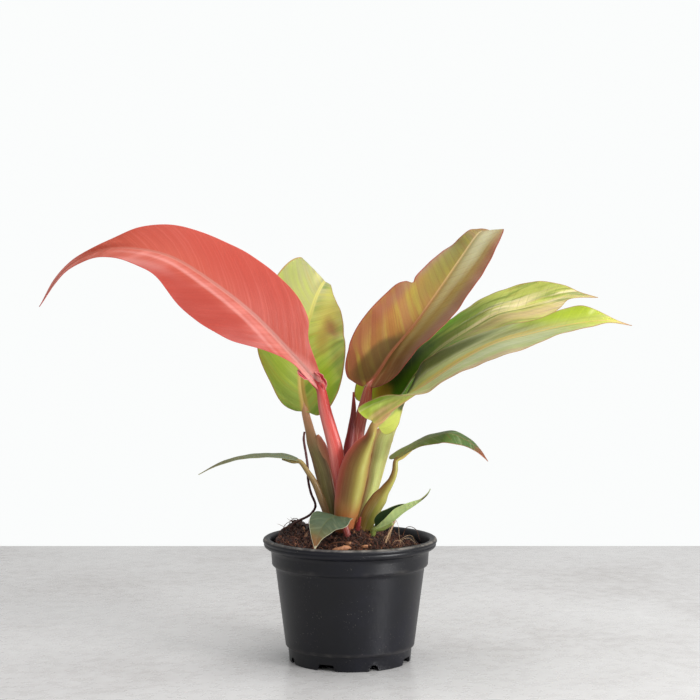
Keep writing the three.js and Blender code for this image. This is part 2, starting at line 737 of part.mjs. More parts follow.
let soil = soilSolid().subtract(stemSolid(SEAT_GAP));
for (const near of [...grownLimbs, ...grownBlades]) soil = soil.subtract(near);
addPiece('soil', largestBody(soil), '#3a2418', 0.95);

export default plant;
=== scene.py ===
"""The looks of a young philodendron in its nursery pot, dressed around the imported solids.

Shapes are given in millimetres, as on a grower's drawing, and every mesh is made in metres. +Z is up, the
origin is the middle of the pot's foot, and -Y is the side that the plant is best seen from. A row of colours
is written as one line of text, with the place of each colour in per cent before it.
"""

import logging
import math
from dataclasses import dataclass
from enum import Enum

import bpy
import mathutils.noise
import numpy as np
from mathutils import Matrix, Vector

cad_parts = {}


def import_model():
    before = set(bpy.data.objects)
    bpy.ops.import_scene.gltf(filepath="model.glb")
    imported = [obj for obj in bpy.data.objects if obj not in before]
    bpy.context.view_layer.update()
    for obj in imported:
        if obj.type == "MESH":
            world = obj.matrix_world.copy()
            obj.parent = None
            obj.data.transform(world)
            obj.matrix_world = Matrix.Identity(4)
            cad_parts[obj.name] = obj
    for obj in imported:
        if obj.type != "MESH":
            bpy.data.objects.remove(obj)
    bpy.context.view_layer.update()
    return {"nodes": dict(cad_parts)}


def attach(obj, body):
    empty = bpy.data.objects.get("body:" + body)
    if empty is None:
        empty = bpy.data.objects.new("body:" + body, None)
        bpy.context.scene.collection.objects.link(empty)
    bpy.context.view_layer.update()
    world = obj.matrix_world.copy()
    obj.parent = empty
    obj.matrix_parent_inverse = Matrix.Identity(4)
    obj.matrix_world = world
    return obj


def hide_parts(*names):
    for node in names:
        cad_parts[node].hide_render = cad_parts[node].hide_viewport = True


MM = 0.001
BODY = "root"
RIB_SAMPLES = 1200
VEIN_CURL = 0.012
STREAK_FADE = 5.0
PLEAT_FADE = 5.0
RIPPLE_FADE = 8.0
GROOVE_WIDTH = 0.9
LEAST_HALF_WIDTH = 0.18
CROWDING_TO_RIB = 1.4
MARGIN_COLUMN = 0.985

Table = tuple[tuple[float, ...], ...]
Place = tuple[float, float, float]

log = logging.getLogger("philodendron")


class Half(Enum):
    """The two halves of a blade, with the sign of their widths."""

    LEFT = 1
    RIGHT = -1


def linear(hex_colour: str) -> tuple[float, float, float, float]:
    """Turns a screen colour into the linear values that a shader takes.

    Args:
        hex_colour: A colour such as "#d9665a".

    Returns:
        Red, green and blue, and an alpha of one.
    """
    values = [int(hex_colour[k:k + 2], 16) / 255 for k in (1, 3, 5)]
    return (*(v / 12.92 if v <= 0.04045 else ((v + 0.055) / 1.055) ** 2.4 for v in values), 1.0)


def eased(values: Table, part: np.ndarray) -> np.ndarray:
    """Blends evenly spaced values, easing half way in and out of each.

    Args:
        values: The values at even steps from 0 to 1, as numbers or as rows.
        part: Where to read them, from 0 to 1.

    Returns:
        The blended values, one for each part.
    """
    table = np.asarray(values, float)
    place = np.clip(part, 0.0, 1.0) * (len(table) - 1)
    index = np.minimum(place.astype(int), len(table) - 2)
    step = place - index
    step = (step * step * (3.0 - 2.0 * step) + step) / 2.0
    if table.ndim > 1:
        step = step[:, None]
    return table[index] * (1.0 - step) + table[index + 1] * step


def unit(vectors: np.ndarray) -> np.ndarray:
    """Gives vectors along the last axis a length of one."""
    return vectors / np.maximum(np.linalg.norm(vectors, axis=-1, keepdims=True), 1e-9)


class Spline:
    """A smooth curve through points, the same one that the solids follow."""

    def __init__(self, points: Table) -> None:
        """Keeps the points that the curve passes through."""
        self.points = np.asarray(points, float)

    def at(self, places: np.ndarray) -> np.ndarray:
        """Reads the curve.

        Args:
            places: Where to read it, from 0 at the first point to 1 at the last.

        Returns:
            One point of the curve for each place.
        """
        inner = self.points
        padded = np.vstack([2 * inner[0] - inner[1], inner, 2 * inner[-1] - inner[-2]])
        place = np.clip(places, 0.0, 1.0) * (len(inner) - 1)
        index = np.minimum(place.astype(int), len(inner) - 2)
        step = (place - index)[:, None]
        before, start, end, after = (padded[index + k] for k in range(4))
        leave = (end - before) / 2
        arrive = (after - start) / 2
        cubic = 2 * start - 2 * end + leave + arrive
        square = 3 * end - 3 * start - 2 * leave - arrive
        return ((cubic * step + square) * step + leave) * step + start


class Rib:
    """A midrib in space, with the direction that the blade's upper side faces along it."""

    def __init__(self, rib: Table, faces: Table) -> None:
        """Measures the midrib.

        Args:
            rib: Points of the midrib from the stalk to the tip.
            faces: Directions that the upper side looks in, at the base, the middle and the tip.
        """
        self.line = Spline(rib).at(np.linspace(0.0, 1.0, RIB_SAMPLES))
        steps = np.linalg.norm(np.diff(self.line, axis=0), axis=1)
        self.reached = np.concatenate([[0.0], np.cumsum(steps)])
        self.length = float(self.reached[-1])
        self.slope = unit(np.gradient(self.line, self.reached, axis=0))
        self.faces = faces

    def pick(self, table: np.ndarray, inside: np.ndarray) -> np.ndarray:
        """Reads a table of rows at lengths along the midrib."""
        return np.stack([np.interp(inside, self.reached, table[:, k]) for k in range(3)], 1)

    def frames(self, lengths: np.ndarray) -> tuple[np.ndarray, np.ndarray, np.ndarray]:
        """Finds the midrib's place and directions.

        Args:
            lengths: Lengths along the midrib, which may run a little past its ends.

        Returns:
            The points, the directions of the upper side and the directions of the left half.
        """
        inside = np.clip(lengths, 0.0, self.length)
        ahead = unit(self.pick(self.slope, inside))
        point = self.pick(self.line, inside) + ahead * (lengths - inside)[:, None]
        face = eased(self.faces, inside / self.length)
        up = unit(face - (face * ahead).sum(1)[:, None] * ahead)
        return point, up, np.cross(up, ahead)


class Shell:
    """Points, faces and point values gathered for one piece."""

    def __init__(self) -> None:
        """Starts with nothing in it."""
        self.points: list[np.ndarray] = []
        self.faces: list[np.ndarray] = []
        self.values: dict[str, list[np.ndarray]] = {}
        self.count = 0

    def add(self, points: np.ndarray, faces: np.ndarray, **values: np.ndarray) -> None:
        """Adds one closed shape.

        Args:
            points: Its points in millimetres.
            faces: Its four-sided faces, as rows of point numbers.
            values: A row of three numbers for each point, under the name that the shader reads.
        """
        self.points.append(points)
        self.faces.append(faces + self.count)
        self.count += len(points)
        for name, rows in values.items():
            self.values.setdefault(name, []).append(rows)

    def piece(self, name: str, material: bpy.types.Material) -> bpy.types.Object:
        """Makes the mesh object.

        Args:
            name: The object's name.
            material: The finish of all its faces.

        Returns:
            The new object, linked to the scene.
        """
        mesh = bpy.data.meshes.new(name)
        rows = np.vstack(self.faces).tolist()
        faces = [[k for n, k in enumerate(row) if k not in row[:n]] for row in rows]
        points = (np.vstack(self.points) * MM).tolist()
        mesh.from_pydata(points, [], [face for face in faces if len(face) > 2])
        for label, values in self.values.items():
            attribute = mesh.attributes.new(label, "FLOAT_VECTOR", "POINT")
            attribute.data.foreach_set("vector", np.vstack(values).astype(np.float32).ravel())
        mesh.materials.append(material)
        mesh.shade_smooth()
        mesh.validate()
        return linked(name, mesh)


def linked(name: str, data: bpy.types.ID) -> bpy.types.Object:
    """Puts a mesh, a light or a camera into the scene.

    Args:
        name: The new object's name.
        data: What it shows.

    Returns:
        The new object.
    """
    made = bpy.data.objects.new(name, data)
    bpy.context.scene.collection.objects.link(made)
    return made


def grid_faces(rows: int, columns: int, closed: bool) -> np.ndarray:
    """Numbers the faces of a grid of points.

    Args:
        rows: Rows of points.
        columns: Points in a row.
        closed: True if each row's last point joins its first.

    Returns:
        Four point numbers for each face.
    """
    last = columns if closed else columns - 1
    row, column = np.meshgrid(np.arange(rows - 1), np.arange(last), indexing="ij")
    here = row * columns
    ahead = here + columns
    after = (column + 1) % columns
    return np.stack([c.ravel() for c in (here + column, here + after, ahead + after, ahead + column)], 1)


def tube_faces(rows: int, columns: int, turned: bool = False) -> np.ndarray:
    """Numbers the faces of a stack of rings whose two end points come last.

    Args:
        rows: Rings.
        columns: Points of each ring.
        turned: True if the rings run the other way round.

    Returns:
        Four point numbers for each face, two of them alike at the ends.
    """
    around = np.arange(columns)
    after = (around + 1) % columns
    end = np.full(columns, rows * columns)
    base = (rows - 1) * columns
    first = np.stack([end, after, around, around], 1)
    last = np.stack([end + 1, base + around, base + after, base + after], 1)
    faces = np.vstack([grid_faces(rows, columns, True), first, last])
    return faces[:, ::-1] if turned else faces


def circle(sides: int) -> np.ndarray:
    """Gives evenly spaced angles round a ring."""
    return np.linspace(0.0, 2 * np.pi, sides, endpoint=False)


class Value:
    """A number, vector or colour that runs between nodes, reckoned with like a plain number."""

    def __init__(self, wires: "Wires", socket: bpy.types.NodeSocket) -> None:
        """Keeps the socket that it leaves by, and the tree that it is wired in."""
        self.wires = wires
        self.socket = socket

    def __add__(self, other: object) -> "Value":
        """Adds another value or a number."""
        return self.wires.maths("ADD", self, other)

    def __sub__(self, other: object) -> "Value":
        """Takes away another value or a number."""
        return self.wires.maths("SUBTRACT", self, other)

    def __mul__(self, other: object) -> "Value":
        """Multiplies by another value or a number."""
        return self.wires.maths("MULTIPLY", self, other)

    def __truediv__(self, other: object) -> "Value":
        """Divides by another value or a number."""
        return self.wires.maths("DIVIDE", self, other)


class Wires:
    """A node tree, wired node by node."""

    def __init__(self, tree: bpy.types.NodeTree) -> None:
        """Takes up a tree."""
        self.tree = tree

    def join(self, value: object, socket: bpy.types.NodeSocket) -> None:
        """Leads a value to an input, or sets the input if what it gets is plain.

        Args:
            value: A value from a node, or a plain number, vector, colour or other setting.
            socket: The input.
        """
        if isinstance(value, Value):
            self.tree.links.new(value.socket, socket)
        else:
            socket.default_value = value

    def node(self, kind: str, inputs: dict, out: int | str = 0, **settings: object) -> Value:
        """Adds a node.

        Args:
            kind: The node's type.
            inputs: What its inputs get, by number or name.
            out: The output that is read.
            settings: The node's own settings.

        Returns:
            The value that leaves by the output.
        """
        made = self.tree.nodes.new(kind)
        for setting, value in settings.items():
            setattr(made, setting, value)
        for key, value in inputs.items():
            self.join(value, made.inputs[key])
        return Value(self, made.outputs[out])

    def maths(self, operation: str, first: object, second: object = 0.0) -> Value:
        """Works out a number from one or two others, by the operation's name."""
        return self.node("ShaderNodeMath", {0: first, 1: second}, operation=operation)

    def vector(self, operation: str, first: object, second: Place | Value = (0.0, 0.0, 0.0)) -> Value:
        """Works out a vector from two others, or a vector's length."""
        out = "Value" if operation == "LENGTH" else "Vector"
        return self.node("ShaderNodeVectorMath", {0: first, 1: second}, out, operation=operation)

    def combine(self, x: object, y: object, z: object) -> Value:
        """Makes a vector of three numbers."""
        return self.node("ShaderNodeCombineXYZ", {0: x, 1: y, 2: z})

    def split(self, vector: Value) -> tuple[Value, Value, Value, Value]:
        """Gives a vector and its three numbers."""
        parts = self.node("ShaderNodeSeparateXYZ", {0: vector}).socket.node.outputs
        return vector, *(Value(self, part) for part in parts)

    def step(self, value: Value, low: float, high: float, top: float = 1.0) -> Value:
        """Rises smoothly as a value passes from one limit to another.

        Args:
            value: The value that is watched.
            low: Where the result is 0.
            high: Where it is at the top. Below low, the result falls instead of rising.
            top: The greatest result.

        Returns:
            A number from 0 to the top.
        """
        limits = (high, low, top, 0.0) if low > high else (low, high, 0.0, top)
        inputs = {0: value, **dict(enumerate(limits, 1))}
        return self.node("ShaderNodeMapRange", inputs, interpolation_type="SMOOTHSTEP")

    def band(self, value: Value, limits: tuple[float, float, float, float]) -> Value:
        """Is 1 between the two inner limits and fades to 0 at the two outer ones."""
        return self.step(value, limits[0], limits[1]) * self.step(value, limits[3], limits[2])


class Surface(Wires):
    """The nodes of one surface material."""

    def __init__(self, name: str) -> None:
        """Makes a material with nothing but its shader."""
        self.material = bpy.data.materials.new(name)
        self.material.use_nodes = True
        super().__init__(self.material.node_tree)
        self.shader = self.tree.nodes["Principled BSDF"]

    def values(self, name: str) -> tuple[Value, Value, Value, Value]:
        """Reads one of the mesh's point values, as its vector and its three numbers."""
        return self.split(self.node("ShaderNodeAttribute", {}, "Vector", attribute_name=name))

    def place(self) -> tuple[Value, Value, Value, Value]:
        """Reads the point's place on the object, as its vector and its three numbers."""
        return self.split(self.node("ShaderNodeTexCoord", {}, "Object"))

    def noise(self, vector: Value, scale: float, detail: float = 2.0, rough: float = 0.5) -> Value:
        """Reads a soft random pattern.

        Args:
            vector: Where to read it.
            scale: How many of its swells there are in one unit of length.
            detail: How many finer layers lie on it.
            rough: How strong the finer layers are.

        Returns:
            A number from 0 to 1.
        """
        inputs = {"Vector": vector, "Scale": scale, "Detail": detail, "Roughness": rough}
        return self.node("ShaderNodeTexNoise", inputs)

    def ramp(self, value: Value, stops: str) -> Value:
        """Reads a colour from a row of colours.

        Args:
            value: Where to read it, from 0 to 1.
            stops: The row, such as "0 #3c180c, 50 #643524, 100 #9a6448".

        Returns:
            The colour.
        """
        made = self.node("ShaderNodeValToRGB", {0: value})
        pairs = [stop.split() for stop in stops.split(",")]
        row = made.socket.node.color_ramp.elements
        while len(row) < len(pairs):
            row.new(0.5)
        for element, (percent, colour) in zip(row, pairs):
            element.position = float(percent) / 100
            element.color = linear(colour)
        return made

    def mix(self, factor: Value, under: str | Value, over: str | Value) -> Value:
        """Lays one colour over another by a factor from 0 to 1."""
        colours = [linear(c) if isinstance(c, str) else c for c in (under, over)]
        return self.node("ShaderNodeMix", {0: factor, 6: colours[0], 7: colours[1]}, 2, data_type="RGBA")

    def lit(self, colour: Value, factor: Value) -> Value:
        """Makes a colour brighter or darker by a factor."""
        return self.node("ShaderNodeHueSaturation", {2: factor, 4: colour})

    def bump(self, height: Value, distance: float, strength: float = 1.0) -> None:
        """Lets a height tilt the surface.

        Args:
            height: The height.
            distance: What a height of one measures, in metres.
            strength: How much of it is seen.
        """
        inputs = {"Strength": strength, "Distance": distance, "Height": height}
        self.join(self.node("ShaderNodeBump", inputs), self.shader.inputs["Normal"])

    def finish(self, colour: Value, roughness: Value, **sockets: object) -> bpy.types.Material:
        """Sets the surface shader.

        Args:
            colour: The base colour.
            roughness: The roughness.
            sockets: Other sockets of the shader, with their spaces written as underscores.

        Returns:
            The finished material.
        """
        for name, value in {"Base_Color": colour, "Roughness": roughness, **sockets}.items():
            self.join(value, self.shader.inputs[name.replace("_", " ")])
        return self.material


@dataclass(frozen=True)
class Patch:
    """A soft spot on a blade, in millimetres of the blade laid flat."""

    length: float
    width: float
    long: float
    wide: float
    colour: str
    strength: float = 0.8
    turn: float = 0.0
    soft: float = 0.9

    def lay(self, w: Surface, colour: Value, flat: Value) -> Value:
        """Lays the spot.

        Args:
            w: The material being wired.
            colour: The colour so far.
            flat: The place on the flat blade, a little warped.

        Returns:
            The new colour.
        """
        centred = w.vector("SUBTRACT", flat, (self.length, self.width, 0.0))
        if self.turn:
            inputs = {"Vector": centred, "Angle": math.radians(-self.turn)}
            centred = w.node("ShaderNodeVectorRotate", inputs, rotation_type="Z_AXIS")
        reach = w.vector("LENGTH", w.vector("MULTIPLY", centred, (1 / self.long, 1 / self.wide, 0.0)))
        share = w.step(reach, 1.0 + self.soft / 2, 1.0 - self.soft, self.strength)
        return w.mix(share, colour, self.colour)


@dataclass(frozen=True)
class Streak:
    """Stripes that follow the side veins, in millimetres of the blade laid flat.

    The limits inner and outer are distances from the midrib, and start and end are lengths along it.
    """

    colour: str
    strength: float
    spacing: float
    stretch: float
    low: float = 0.5
    high: float = 0.62
    inner: float | None = None
    outer: float | None = None
    start: float | None = None
    end: float | None = None
    half: Half | None = None
    shift: float = 0.0

    def lay(self, w: Surface, colour: Value, flow: Value, flat: tuple[Value, Value, Value]) -> Value:
        """Lays the stripes.

        Args:
            w: The material being wired.
            colour: The colour so far.
            flow: The place along and across the side veins.
            flat: The length, the distance from the midrib and the signed width.

        Returns:
            The new colour.
        """
        length, away, width = flat
        stretched = w.vector("MULTIPLY", flow, (1 / self.spacing, 1 / self.stretch, 1.0))
        shifted = w.vector("ADD", stretched, (self.shift, self.shift, self.shift))
        mask = w.step(w.noise(shifted, 1.0), self.low, self.high, self.strength)
        for value, limit, fade in (
            (away, self.inner, STREAK_FADE),
            (away, self.outer, -STREAK_FADE),
            (length, self.start, 3 * STREAK_FADE),
            (length, self.end, -3 * STREAK_FADE),
        ):
            if limit is not None:
                mask = mask * w.step(value, limit, limit + fade)
        if self.half:
            mask = mask * w.step(width, -0.5 * self.half.value, 0.5 * self.half.value)
        return w.mix(mask, colour, self.colour)


@dataclass(frozen=True)
class LeafFinish:
    """The colours and gloss of one blade.

    The relief and the depth that light sinks to are in metres, and the scales count swells in a millimetre.
    A row of limits says where a share starts and where it is full, and its third number is the most of it.
    """

    ground: str
    rib: str
    rib_half: tuple[float, float]
    margin: str
    under: str
    vein: str
    vein_strength: float = 0.3
    vein_width: float = 0.09
    margin_width: float = 0.9
    streaks: tuple[Streak, ...] = ()
    patches: tuple[Patch, ...] = ()
    mottle: float = 0.16
    roughness: float = 0.42
    gloss: float = 0.22
    glow: float = 0.16
    tint: Place = (1.0, 0.5, 0.25)
    under_share: float = 0.85
    under_end: float = 0.72
    under_fade: float = 0.13
    warp_scale: float = 0.09
    flow_warp: float = 2.0
    ground_warp: float = 0.16
    patch_warp: float = 9.0
    halves_apart: float = 37.0
    grain_scale: float = 0.7
    drawn_scale: Place = (0.9, 0.03, 1.0)
    drawn_share: float = 1.6
    vein_limits: tuple[float, float] = (0.3, 0.6)
    vein_from_edge: tuple[float, float] = (0.5, 6.0)
    rim_full: float = 0.35
    rim_dust_and_sheen: float = 0.85
    rib_taper: float = 0.6
    rib_limits: Place = (1.25, 0.45, 0.92)
    groove_limits: Place = (0.55, 0.1, 0.16)
    gloss_scale: float = 0.35
    gloss_change: float = 0.16
    gloss_lift: float = 0.03
    coat: float = 0.03
    coat_roughness: float = 0.3
    relief: float = 0.00018
    depth: float = 0.0012

    def material(self, name: str, spacing: float, slant: float) -> bpy.types.Material:
        """Wires the leaf's surface.

        Args:
            name: The material's name.
            spacing: The distance between side veins, in millimetres.
            slant: How far side veins run ahead for each millimetre outwards.

        Returns:
            The material.
        """
        w = Surface(name)
        flat, length, width, under = w.values("flat")
        _, along, _, edge = w.values("place")
        warp = w.noise(flat, self.warp_scale, detail=3.0)
        away = w.maths("ABSOLUTE", width)
        ahead = length - away * (away * VEIN_CURL + slant)
        side = w.step(width, -0.3, 0.3) * self.halves_apart
        flow = w.combine(warp * self.flow_warp + ahead, away, side)
        colour = w.ramp(warp * self.ground_warp + (along - self.ground_warp / 2), self.ground)
        moved = w.vector("ADD", flat, w.combine((warp - 0.5) * self.patch_warp, 0.0, 0.0))
        for streak in self.streaks:
            colour = streak.lay(w, colour, flow, (length, away, width))
        for patch in self.patches:
            colour = patch.lay(w, colour, moved)
        fine = w.noise(flat, self.grain_scale, detail=4.0, rough=0.6)
        drawn = w.noise(w.vector("MULTIPLY", flow, self.drawn_scale), 1.0, detail=3.0, rough=0.6)
        grain = fine + drawn * self.drawn_share
        colour = w.lit(colour, (grain - (1 + self.drawn_share) / 2) * self.mottle + 1.0)
        line = w.maths("PINGPONG", ahead / spacing, 0.5)
        vein = w.step(line, 0.5 - self.vein_width, 0.5, self.vein_strength)
        vein = vein * w.step(w.noise(flow, 0.05), *self.vein_limits) * w.step(edge, *self.vein_from_edge)
        colour = self.lay_rib(w, w.mix(vein, colour, self.vein), along, away)
        rim = w.step(edge, self.margin_width, self.margin_width * self.rim_full, self.rim_dust_and_sheen)
        colour = w.mix(rim, colour, self.margin)
        dulled = w.step(along, self.under_end + self.under_fade, self.under_end, self.under_share)
        colour = w.mix(w.step(under, 0.4, 0.6), colour, w.mix(dulled, colour, self.under))
        w.bump(line * 1.2 + grain * 0.6, self.relief, 0.5)
        gloss = w.noise(flat, self.gloss_scale, detail=3.0) * self.gloss_change
        return w.finish(
            colour,
            gloss + (self.roughness - self.gloss_lift),
            Subsurface_Weight=self.glow,
            Subsurface_Radius=self.tint,
            Subsurface_Scale=self.depth,
            Specular_IOR_Level=self.gloss,
            Coat_Weight=self.coat,
            Coat_Roughness=self.coat_roughness,
        )

    def lay_rib(self, w: Surface, colour: Value, along: Value, away: Value) -> Value:
        """Lays the midrib's pale band and its fine groove.

        Args:
            w: The material being wired.
            colour: The colour so far.
            along: The part of the midrib, from 0 to 1.
            away: The distance from the midrib in millimetres.

        Returns:
            The new colour.
        """
        base, tip = self.rib_half
        reach = w.maths("POWER", along, self.rib_taper) * (tip - base) + base
        colour = w.mix(w.step(away / reach, *self.rib_limits), colour, w.ramp(along, self.rib))
        return w.mix(w.step(away, *self.groove_limits), colour, self.vein)


@dataclass
class Sheet:
    """A blade's middle surface in rows of points, with where each point lies on the flat blade.

    The length runs along the midrib, the width is signed and the part is 1 at the margin.
    """

    grid: np.ndarray
    length: np.ndarray
    width: np.ndarray
    part: np.ndarray
    whole: float

    def along(self) -> np.ndarray:
        """Gives each point's part of the midrib's length, from 0 to 1."""
        return np.clip(self.length / self.whole, 0.0, 1.0)

    def close(self, upper: np.ndarray, lower: np.ndarray) -> Shell:
        """Joins an upper and a lower side round the margin.

        Args:
            upper: The upper side's points.
            lower: The lower side's points.

        Returns:
            The closed shape with the values that its finish reads.
        """
        rows, columns = self.length.shape
        size = rows * columns
        top = grid_faces(rows, columns, False)[:, ::-1]
        ring = [(i, 0) for i in range(rows - 1)]
        ring += [(rows - 1, j) for j in range(columns - 1)]
        ring += [(i, columns - 1) for i in range(rows - 1, 0, -1)]
        ring += [(0, j) for j in range(columns - 1, 0, -1)]
        rim = np.array([i * columns + j for i, j in ring])
        after = np.roll(rim, -1)
        side = np.stack([after, rim, rim + size, after + size], 1)
        half_width = np.abs(self.width) / np.maximum(self.part, 1e-3)
        from_edge = np.where(self.part > 0, half_width * (1 - self.part), 30.0)
        place = np.stack([self.along(), self.part, from_edge], 2).reshape(-1, 3)
        flat = [
            np.stack([self.length, self.width, np.full_like(self.length, under)], 2).reshape(-1, 3)
            for under in (0.0, 1.0)
        ]
        shell = Shell()
        points = np.vstack([upper.reshape(-1, 3), lower.reshape(-1, 3)])
        faces = np.vstack([top, grid_faces(rows, columns, False) + size, side])
        shell.add(points, faces, flat=np.vstack(flat), place=np.vstack([place, place]))
        return shell


@dataclass
class Blade:
    """One leaf blade: a midrib in space, two margins on the flat, and how each half rises from the midrib."""

    name: str
    slot: str
    finish: LeafFinish
    rib: Table
    faces: Table
    left: Table
    right: Table
    rise_left: tuple[float, ...]
    rise_right: tuple[float, ...]
    roll: float = -8.0
    rows: int = 168
    columns: int = 22
    thickness: float = 0.55
    margin_thickness: float = 0.24
    keel: float = 2.3
    keel_width: float = 6.0
    groove: float = 0.3
    pleat: float = 0.09
    spacing: float = 7.0
    slant: float = 0.62
    ripple: float = 0.35
    ripples: float = 5.0
    seed: int = 1

    def half(self, rib: Rib, start: np.ndarray, edge: np.ndarray, side: Half, reach: float) -> tuple:
        """Lays out one half of the blade.

        Args:
            rib: The midrib.
            start: The length at which each row leaves the midrib.
            edge: The margin's length and width at each row.
            side: Which half it is.
            reach: The blade's greatest half width.

        Returns:
            The points, and for each the length, the signed width and the part of the way to the margin, all
            with the left half outwards and the right half inwards.
        """
        parts = (np.arange(1, self.columns) / self.columns) ** CROWDING_TO_RIB
        parts = np.append(parts, [MARGIN_COLUMN, 1.0])
        length = start[:, None] * (1 - parts) + edge[:, :1] * parts
        width = np.maximum(edge[:, 1:], LEAST_HALF_WIDTH) * parts
        point, up, left = rib.frames(length.ravel())
        rises = self.rise_left if side is Half.LEFT else self.rise_right
        begin = np.radians(eased(rises, np.clip(length.ravel() / rib.length, 0, 1)))
        turn = math.radians(self.roll)
        end = begin + turn * width.ravel() / reach
        radius = reach / turn
        out = radius * (np.sin(end) - np.sin(begin))
        lift = radius * (np.cos(begin) - np.cos(end))
        point = point + side.value * out[:, None] * left + lift[:, None] * up
        part = np.broadcast_to(parts, length.shape)
        laid = point.reshape(*length.shape, 3), length, side.value * width, part
        return laid if side is Half.LEFT else tuple(table[:, ::-1] for table in laid)

    def build(self) -> bpy.types.Object:
        """Makes the blade's mesh and finish.

        Returns:
            The blade.
        """
        rib = Rib(self.rib, self.faces)
        steps = np.linspace(0.0, 1.0, self.rows + 1)
        edges = {Half.LEFT: Spline(self.left).at(steps), Half.RIGHT: Spline(self.right).at(steps)}
        middle = (edges[Half.LEFT][:, 0] + edges[Half.RIGHT][:, 0]) / 2
        start = np.minimum(np.maximum.accumulate(np.maximum(middle, steps * 2.0)), rib.length)
        start[-1] = rib.length
        reach = max(width for _, width in self.left + self.right)
        left, right = (self.half(rib, start, edges[side], side, reach) for side in Half)
        none = np.zeros_like(start[:, None])
        centre = (rib.frames(start)[0][:, None, :], start[:, None], none, none)
        sheet = Sheet(*(np.concatenate(tables, 1) for tables in zip(right, centre, left)), rib.length)
        shell = sheet.close(*self.thicken(sheet))
        return shell.piece(self.name, self.finish.material(self.name, self.spacing, self.slant))

    def thicken(self, sheet: Sheet) -> tuple[np.ndarray, np.ndarray]:
        """Gives the blade its pleats, its ripples, its thickness and the midrib's keel.

        Args:
            sheet: The middle surface.

        Returns:
            The upper side and the lower side.
        """
        grid, part, along = sheet.grid, sheet.part, sheet.along()
        normal = unit(np.cross(np.gradient(grid, axis=0), np.gradient(grid, axis=1)))
        away = np.abs(sheet.width)
        phase = 2 * np.pi * (sheet.length - (self.slant + VEIN_CURL * away) * away) / self.spacing
        pleats = self.pleat * np.cos(phase) * np.clip(away / PLEAT_FADE, 0, 1) * (1 - part ** 6)
        turn = 2 * np.pi * self.ripples * along + self.seed + np.sign(sheet.width)
        ripples = self.ripple * (np.sin(turn) + 0.5 * np.sin(2.3 * turn + 1))
        ripples = ripples * part ** 3 * np.minimum(away / RIPPLE_FADE, 1)
        grid = grid + normal * (pleats + ripples)[..., None]
        keel_half = self.keel_width / 2 * (1 - 0.8 * along)
        round_back = np.sqrt(np.clip(1 - (away / keel_half) ** 2, 0, 1))
        groove = self.groove * np.exp(-((away / GROOVE_WIDTH) ** 2)) * (1 - along)
        thick = self.margin_thickness + (self.thickness - self.margin_thickness) * (1 - part ** 4)
        above = thick / 2 - groove
        below = thick / 2 + self.keel * (1 - along) ** 1.15 * round_back
        return grid + normal * above[..., None], grid - normal * below[..., None]


@dataclass(frozen=True)
class StalkFinish:
    """The colours of a stalk: along it from the top down, and across its open sheath from left to right.

    The relief and the depth that light sinks to are in metres, and the scales count swells in a millimetre.
    """

    along: str
    across: str = ""
    streak: str = "#b58f7a"
    streak_strength: float = 0.25
    roughness: float = 0.38
    glow: float = 0.12
    sheath_from: float = 0.1
    sheath_to: float = 0.9
    strength: float = 0.95
    tint: Place = (1.0, 0.45, 0.25)
    gloss: float = 0.32
    wander_scale: float = 0.05
    along_wander: float = 0.1
    across_wander: float = 0.16
    sheath_fade: Place = (0.12, 0.08, 0.1)
    drawn_scale: tuple[float, float] = (5.0, 0.03)
    line_scale: float = 1.6
    line_limits: tuple[float, float] = (0.45, 0.68)
    grain_scale: float = 1.1
    mottle: float = 0.22
    gloss_change: float = 0.12
    coat: float = 0.16
    coat_roughness: float = 0.2
    relief: float = 0.00025
    depth: float = 0.002

    def material(self, name: str) -> bpy.types.Material:
        """Wires the stalk's surface.

        Args:
            name: The material's name.

        Returns:
            The material.
        """
        w = Surface(name)
        _, along, across, front = w.values("limb")
        run, distance, _, _ = w.values("run")
        wander = w.noise(run, self.wander_scale)
        colour = w.ramp(wander * self.along_wander + (along - self.along_wander / 2), self.along)
        if self.across:
            shifted = (wander - 0.5) * self.across_wander + across
            bands = w.ramp(shifted * -0.5 + 0.5, self.across)
            below, after, before = self.sheath_fade
            top = w.step(along, self.sheath_from, self.sheath_from + below)
            foot = w.step(along, self.sheath_to + after, self.sheath_to - before)
            colour = w.mix(top * foot * self.strength, colour, bands)
        drawn = w.combine(across * self.drawn_scale[0], distance * self.drawn_scale[1], front)
        lines = w.noise(drawn, self.line_scale, detail=3.0, rough=0.6)
        lines = w.step(lines, *self.line_limits, self.streak_strength)
        fine = w.noise(run, self.grain_scale, detail=3.0, rough=0.6)
        colour = w.lit(w.mix(lines, colour, self.streak), (fine - 0.5) * self.mottle + 1.0)
        w.bump(w.noise(drawn, 4.0, detail=3.0), self.relief, 0.4)
        return w.finish(
            colour,
            fine * self.gloss_change + (self.roughness - self.gloss_change / 2),
            Subsurface_Weight=self.glow,
            Subsurface_Radius=self.tint,
            Subsurface_Scale=self.depth,
            Specular_IOR_Level=self.gloss,
            Coat_Weight=self.coat,
            Coat_Roughness=self.coat_roughness,
        )


